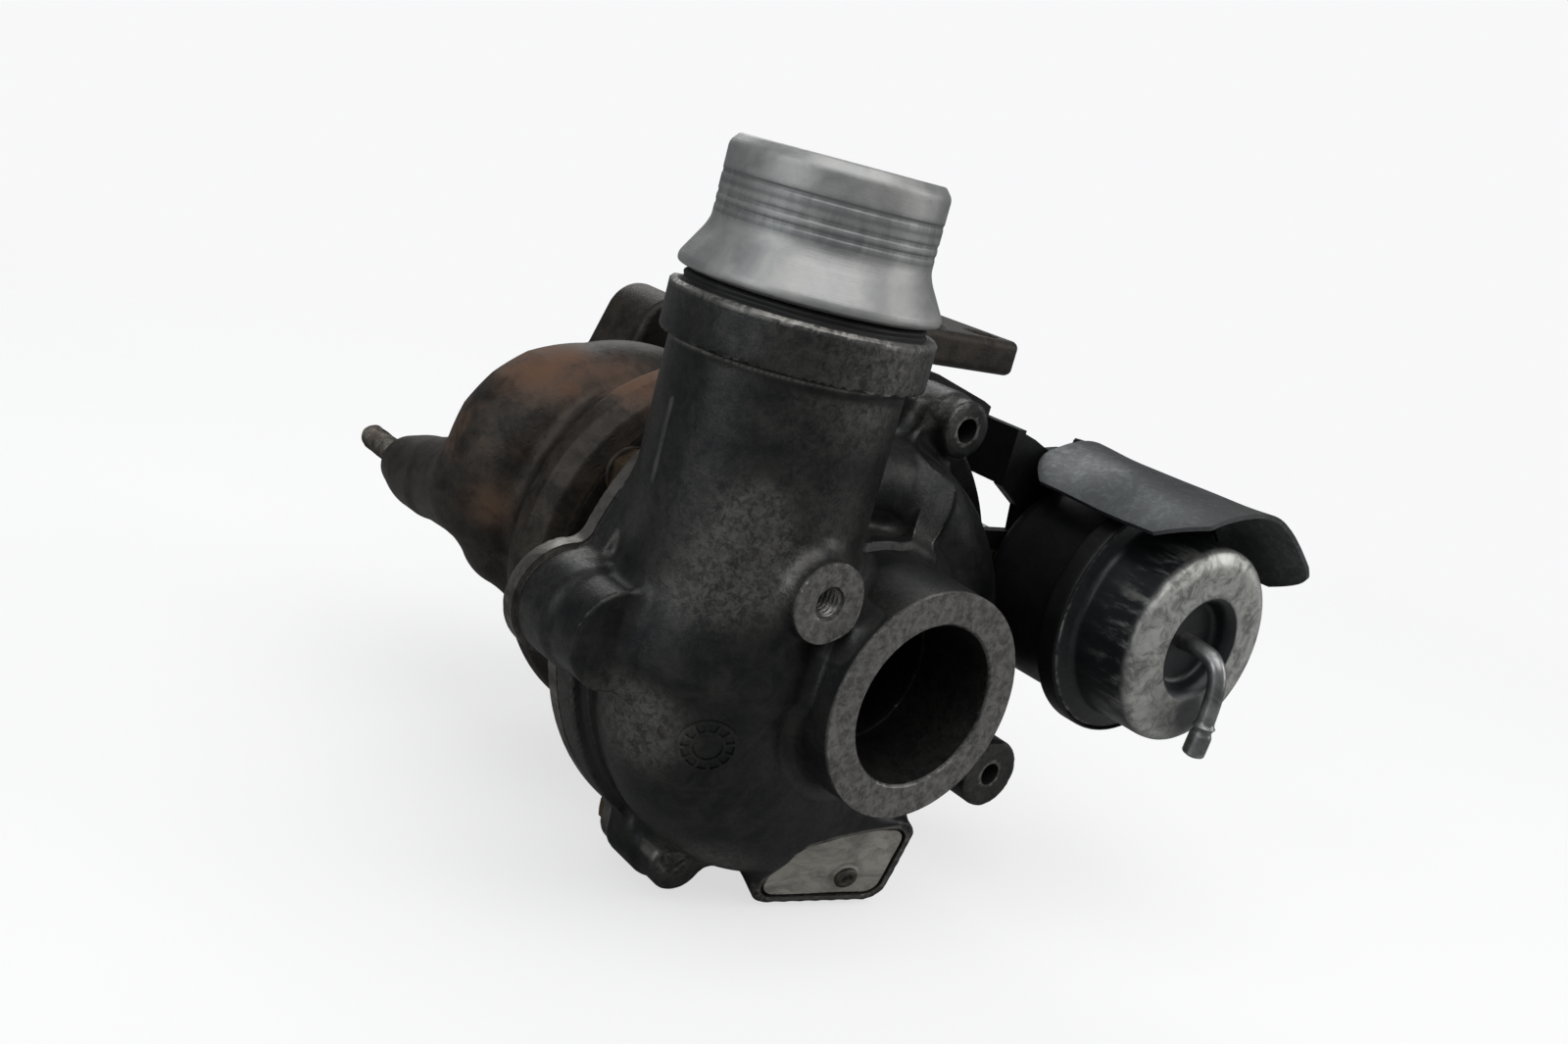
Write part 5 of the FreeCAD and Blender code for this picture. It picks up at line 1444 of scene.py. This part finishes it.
def build_hot_side(materials):
    turbine = cast("turbine_housing_casting", turbine_field, (-60, 71.5, -54),
                   (84, OUTLET_FACE + 0.6, INLET_FLANGE_TOP + 0.6),
                   "housing", turbine_machined)
    stand_in(turbine, materials, "cast_iron_brown", "turbine_housing")

    centre = cast("bearing_housing_casting", housing_field, (-36, 47, -38), (36, 85, 36), "housing",
                  housing_machined)
    stand_in(centre, materials, "cast_iron_dark", "bearing_housing")

    studs = []
    for angle, reach, _radius in LOBES[1:]:
        x, z = polar(reach, angle)
        studs.append(screwed_rod("stud", "y", x, z, STUD_R, OUTLET_FACE - 13.5, STUD_END - 2.4, 1.25,
                                 "housing", 0.7))
        point = [(0, STUD_END - 3.0), (STUD_R - 0.9, STUD_END - 3.0), (STUD_R - 0.9, STUD_END - 1.6),
                 (1.4, STUD_END), (0, STUD_END)]
        studs.append(lathe("stud_point", point, "y", x, z, "housing", 0.3, 40))
    studs = merge("exhaust_studs_threaded", studs)
    stand_in(studs, materials, "oxidised_steel", "exhaust_studs")


def bolt(x, z, seat, head_end, tip, across, turn=10.0, washer=0.0, shank_r=2.45):
    """Hex bolt along Y as two meshes: head and threaded shank."""
    head = hex_head("head", x, z, across, seat, head_end, "housing", turn, washer=washer)
    shank = screwed_rod("shank", "y", x, z, shank_r, min(seat, tip), max(seat, tip), 0.8, "housing", 0.4)
    return [head, shank]


def build_fasteners(materials):
    groups = {"cover_screws": [], "housing_screws": [], "turbine_bolts": [], "mounting_nuts": [],
              "shield_screw": []}
    for k, (name, (x, z, _radius, _front)) in enumerate(LUGS.items()):
        seat = BACKPLATE_BACK + (2.5 if name in OPEN_LUGS else 0.0)
        groups["cover_screws"] += bolt(x, z, seat, seat + 4.0, 40.0 if name in OPEN_LUGS else 33.0, 8.0,
                                       10 + 23 * k, 1.0)
    for k, angle in enumerate(SCREW_ANGLES):
        x, z = polar(SCREW_R, angle)
        groups["housing_screws"] += bolt(x, z, 52.5, 56.0, 43.0, 8.0, 5 + 17 * k)
    for k, angle in enumerate(CLAMP_ANGLES):
        x, z = polar(CLAMP_R, angle)
        groups["turbine_bolts"] += bolt(x, z, 71.0, 66.5, 86.0, 9.0, 12 + 19 * k)
    for k, dx in enumerate((-11, 11)):
        groups["mounting_nuts"].append(hex_head("nut", CAN_X + dx, CAN_Z, 8.0, 38.5, 42.5, "housing",
                                                8 + 30 * k, 2.45))
    screw_x, screw_z = polar(*SHIELD_SCREW)
    groups["shield_screw"] = bolt(CAN_X + screw_x, CAN_Z + screw_z, 39.6, 42.6, 33.5, 7.0, 20,
                                  shank_r=1.95)
    for node, parts in groups.items():
        piece = merge(node + "_zinc", parts)
        stand_in(piece, materials, "yellow_zinc", node)


def build_wheels(materials):
    wheel = compressor_wheel()
    stand_in(wheel, materials, "wheel_aluminium", "compressor_wheel")
    turbine = turbine_wheel()
    stand_in(turbine, materials, "turbine_alloy", "turbine_wheel_shaft")


def build_actuator(materials):
    cap = [(0, CAP_FACE + 4.5), (9.2, CAP_FACE + 4.5), (9.4, CAP_FACE + 1.6), (10.8, CAP_FACE),
           (18.4, CAP_FACE),
           (20.6, CAP_FACE + 1.2), (21.0, CAP_FACE + 3.0), (21.0, 7.0), (CRIMP_R, 8.0), (CRIMP_R, 9.8),
           (19.4, 9.8),
           (19.4, CAP_FACE + 3.5), (18.0, CAP_FACE + 1.6), (11.2, CAP_FACE + 1.6), (10.9, CAP_FACE + 6.1),
           (0, CAP_FACE + 6.1)]
    front = lathe("actuator_cap_pressing", cap, "y", CAN_X, CAN_Z, "housing", 1.3, 160)
    stand_in(front, materials, "cap_steel", "actuator_front_cap")

    can = [(CRIMP_R + 0.05, 7.6), (25.5, 7.9), (25.6, 8.6), (25.6, 12.0), (25.2, 12.6), (22.8, 12.6),
           (22.0, 13.4),
           (22.0, 30.6), (21.2, 32.8), (18.0, 35.2), (15.5, CAN_BACK), (6.0, CAN_BACK), (6.0, 34.5),
           (15.0, 34.5), (17.2, 33.6),
           (20.5, 31), (20.5, 10.6), (CRIMP_R + 0.05, 10.6)]
    rear = lathe("actuator_can_pressing", can, "y", CAN_X, CAN_Z, "housing", 0.7, 160)
    stand_in(rear, materials, "black_steel", "actuator_rear_can")

    path = [(CAN_X, -1.8, CAN_Z), (CAN_X, -7.0, CAN_Z), (CAN_X + 0.4, -11.2, CAN_Z - 1.2),
            (CAN_X + 0.6, -13.4, CAN_Z - 5.5),
            (CAN_X + 0.5, -13.8, CAN_Z - 14.0), (CAN_X + 0.2, -13.6, CAN_Z - 20.6)]

    def width(t):
        bead = 0.5 * math.exp(-((t - 0.80) / 0.012) ** 2)
        tip = 0.45 / (1 + math.exp(-(t - 0.84) / 0.006))
        taper = -1.1 * max(0.0, (t - 0.985) / 0.015)
        return 1.85 + bead + tip + taper
    nipple = sweep("hose_nipple_bent", path, width, "housing")
    stand_in(nipple, materials, "nipple_steel", "hose_nipple", "yellow_zinc")


def shield_place(first, last, front, back, radius=SHIELD_R, wave=0.35):
    """Middle surface of the shield between two angles; front and back give its edges at an angle."""
    def place(s, t):
        angle = first + (last - first) * s
        y = front(angle) + (back(angle) - front(angle)) * t
        bend = wave * math.sin(angle * 0.12 + y * 0.11) + 0.5 * wave * math.sin(angle * 0.05 - y * 0.23)
        a = math.radians(angle)
        out = np.array([math.cos(a), 0.0, math.sin(a)])
        return np.array([CAN_X, y, CAN_Z]) + out * (radius + bend), out
    return place


def build_shield(materials):
    def front(angle):
        right = max(0.0, (37 - angle) / 14)
        left = max(0.0, (angle - 118) / 14)
        return -10.2 - 1.4 * max(0.0, 1 - abs(angle - 42) / 25) + 9.0 * right ** 1.7 + 8.0 * left ** 1.15

    def back(angle):
        right = max(0.0, (34 - angle) / 11)
        left = max(0.0, (angle - 112) / 20)
        return 35.0 - 5.0 * right ** 2 - 7.0 * left ** 2
    skin_sheet = sheet("shield_sheet", shield_place(23, 132, front, back), SHIELD_T, "housing", 120, 60)
    tab = shield_place(62, 88, lambda a: 34.0, lambda a: 39.4, SHIELD_R - 0.3, 0.0)
    lip = sheet("shield_lip", tab, SHIELD_T, "housing", 20, 6)

    def fold(s, t):
        a = math.radians(62 + 26 * s)
        r = SHIELD_R - 0.2 - 12.6 * t
        return np.array([CAN_X + r * math.cos(a), 39.1, CAN_Z + r * math.sin(a)]), np.array([0.0, 1.0,
                                                                                             0.0])
    flap = sheet("shield_flap", fold, SHIELD_T, "housing", 20, 12)
    shield = merge("actuator_shield_sheet", [skin_sheet, lip, flap])
    stand_in(shield, materials, "shield_steel", "actuator_heat_shield")


# ---- carried-over nodes ---------------------------------------------------------------------------
NODE_FINISH = {
    "steel": ["shaft_nut", "thrust_collar", "bush_spacer", "compressor_piston_ring",
              "turbine_piston_ring", "lever_pin",
              "pin_clip", "piston_cup", "actuator_spring", "actuator_rod"],
    "bronze": ["thrust_bearing", "front_journal_bush", "rear_journal_bush", "rod_bush"],
    "oxidised_steel": ["clamp_washers", "turbine_heat_shroud", "wastegate_bush", "flap_washer",
                       "wastegate_lever"],
    "turbine_alloy": ["wastegate_spindle", "wastegate_flap"],
    "yellow_zinc": ["mounting_studs", "rod_lock_nut", "rod_eye", "shield_nut"],
    "rubber": ["cover_o_ring", "actuator_diaphragm"],
    "black_steel": ["actuator_bracket"],
}
BEVELLED = {"actuator_bracket": 0.45, "wastegate_lever": 0.5, "rod_eye": 0.4, "rod_lock_nut": 0.3,
            "shaft_nut": 0.25,
            "lever_pin": 0.3, "wastegate_spindle": 0.4, "wastegate_flap": 0.3, "actuator_rod": 0.3,
            "wastegate_bush": 0.3}


def dress_frame(materials):
    """Finishes and softened edges for the CAD nodes that stay in view."""
    for finish, nodes in NODE_FINISH.items():
        for name in nodes:
            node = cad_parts[name]
            dress(node, materials[finish], finish)
            if name in BEVELLED:
                bevel = node.modifiers.new("softened_edges", "BEVEL")
                bevel.width = BEVELLED[name] * MM
                bevel.segments = 3
                bevel.limit_method = "ANGLE"
                bevel.angle_limit = math.radians(35)
                bevel.harden_normals = True


# ---- stage ----------------------------------------------------------------------------------------
def build_camera():
    """Standing in front, left of the inlet and a little above it, head tipped to the right."""
    data = bpy.data.cameras.new("camera")
    camera = bpy.data.objects.new("camera", data)
    bpy.context.scene.collection.objects.link(camera)
    data.lens, data.sensor_width = 34.34, 36.0
    data.clip_start, data.clip_end = 0.01, 10.0
    right = Vector((0.765632, -0.591801, 0.252150))
    up = Vector((-0.042116, 0.345020, 0.937650))
    back = Vector((-0.641899, -0.728514, 0.239233))
    turn = Matrix((right, up, back)).transposed().to_4x4()
    camera.matrix_world = Matrix.Translation((-0.19136, -0.16750, 0.08816)) @ turn
    bpy.context.scene.camera = camera
    return camera


def build_floor(low):
    """Large pale floor just under the machine."""
    size, drop = 6.0, 0.002
    points = [(-size, -size), (size, -size), (size, size), (-size, size)]
    mesh = bpy.data.meshes.new("floor")
    mesh.from_pydata([(x, y, low - drop) for x, y in points], [], [(0, 1, 2, 3)])
    floor = bpy.data.objects.new("floor", mesh)
    bpy.context.scene.collection.objects.link(floor)
    mesh.materials.append(floor_finish())
    floor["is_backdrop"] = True


def area_light(name, place, target, size, power, colour=(1.0, 1.0, 1.0)):
    data = bpy.data.lights.new(name, "AREA")
    data.shape = "RECTANGLE"
    data.size, data.size_y = size
    data.energy = power
    data.color = colour
    light = bpy.data.objects.new(name, data)
    light.location = place
    light.rotation_euler = (Vector(target) - Vector(place)).to_track_quat("-Z", "Y").to_euler()
    bpy.context.scene.collection.objects.link(light)


def build_lights():
    target = (0.0, 0.05, 0.02)
    area_light("key", (-0.15, -0.35, 0.95), target, (1.2, 1.2), 9.0)
    area_light("left", (-1.0, 0.0, 0.35), target, (0.5, 0.9), 3.2, (0.95, 0.98, 1.0))
    area_light("right", (0.9, -0.6, 0.45), target, (0.5, 0.8), 3.2)
    area_light("back", (0.4, 1.0, 0.7), target, (0.8, 0.5), 3.5)
    world = bpy.data.worlds.new("studio")
    bpy.context.scene.world = world
    world.use_nodes = True
    tree = world.node_tree
    backdrop = tree.nodes["Background"]
    backdrop.inputs["Color"].default_value = (0.94, 0.94, 0.95, 1.0)
    room = tree.nodes.new("ShaderNodeBackground")
    room.inputs["Color"].default_value = (0.155, 0.160, 0.165, 1.0)
    ray = tree.nodes.new("ShaderNodeLightPath")
    mix = tree.nodes.new("ShaderNodeMixShader")
    tree.links.new(ray.outputs["Is Camera Ray"], mix.inputs[0])
    tree.links.new(room.outputs[0], mix.inputs[1])
    tree.links.new(backdrop.outputs[0], mix.inputs[2])
    tree.links.new(mix.outputs[0], tree.nodes["World Output"].inputs["Surface"])
    bpy.context.scene.view_settings.view_transform = "Standard"


def build_all():
    materials = make_materials()
    build_compressor(materials)
    build_label(materials)
    build_hot_side(materials)
    build_fasteners(materials)
    build_wheels(materials)
    build_actuator(materials)
    build_shield(materials)
    dress_frame(materials)
    build_floor(CAD_BOX[0][2])
    build_camera()
    build_lights()


build_all()
boxes = {"cad": CAD_BOX, "visual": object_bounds()}
{name: [list(corner_point) for corner_point in box] for name, box in boxes.items()}
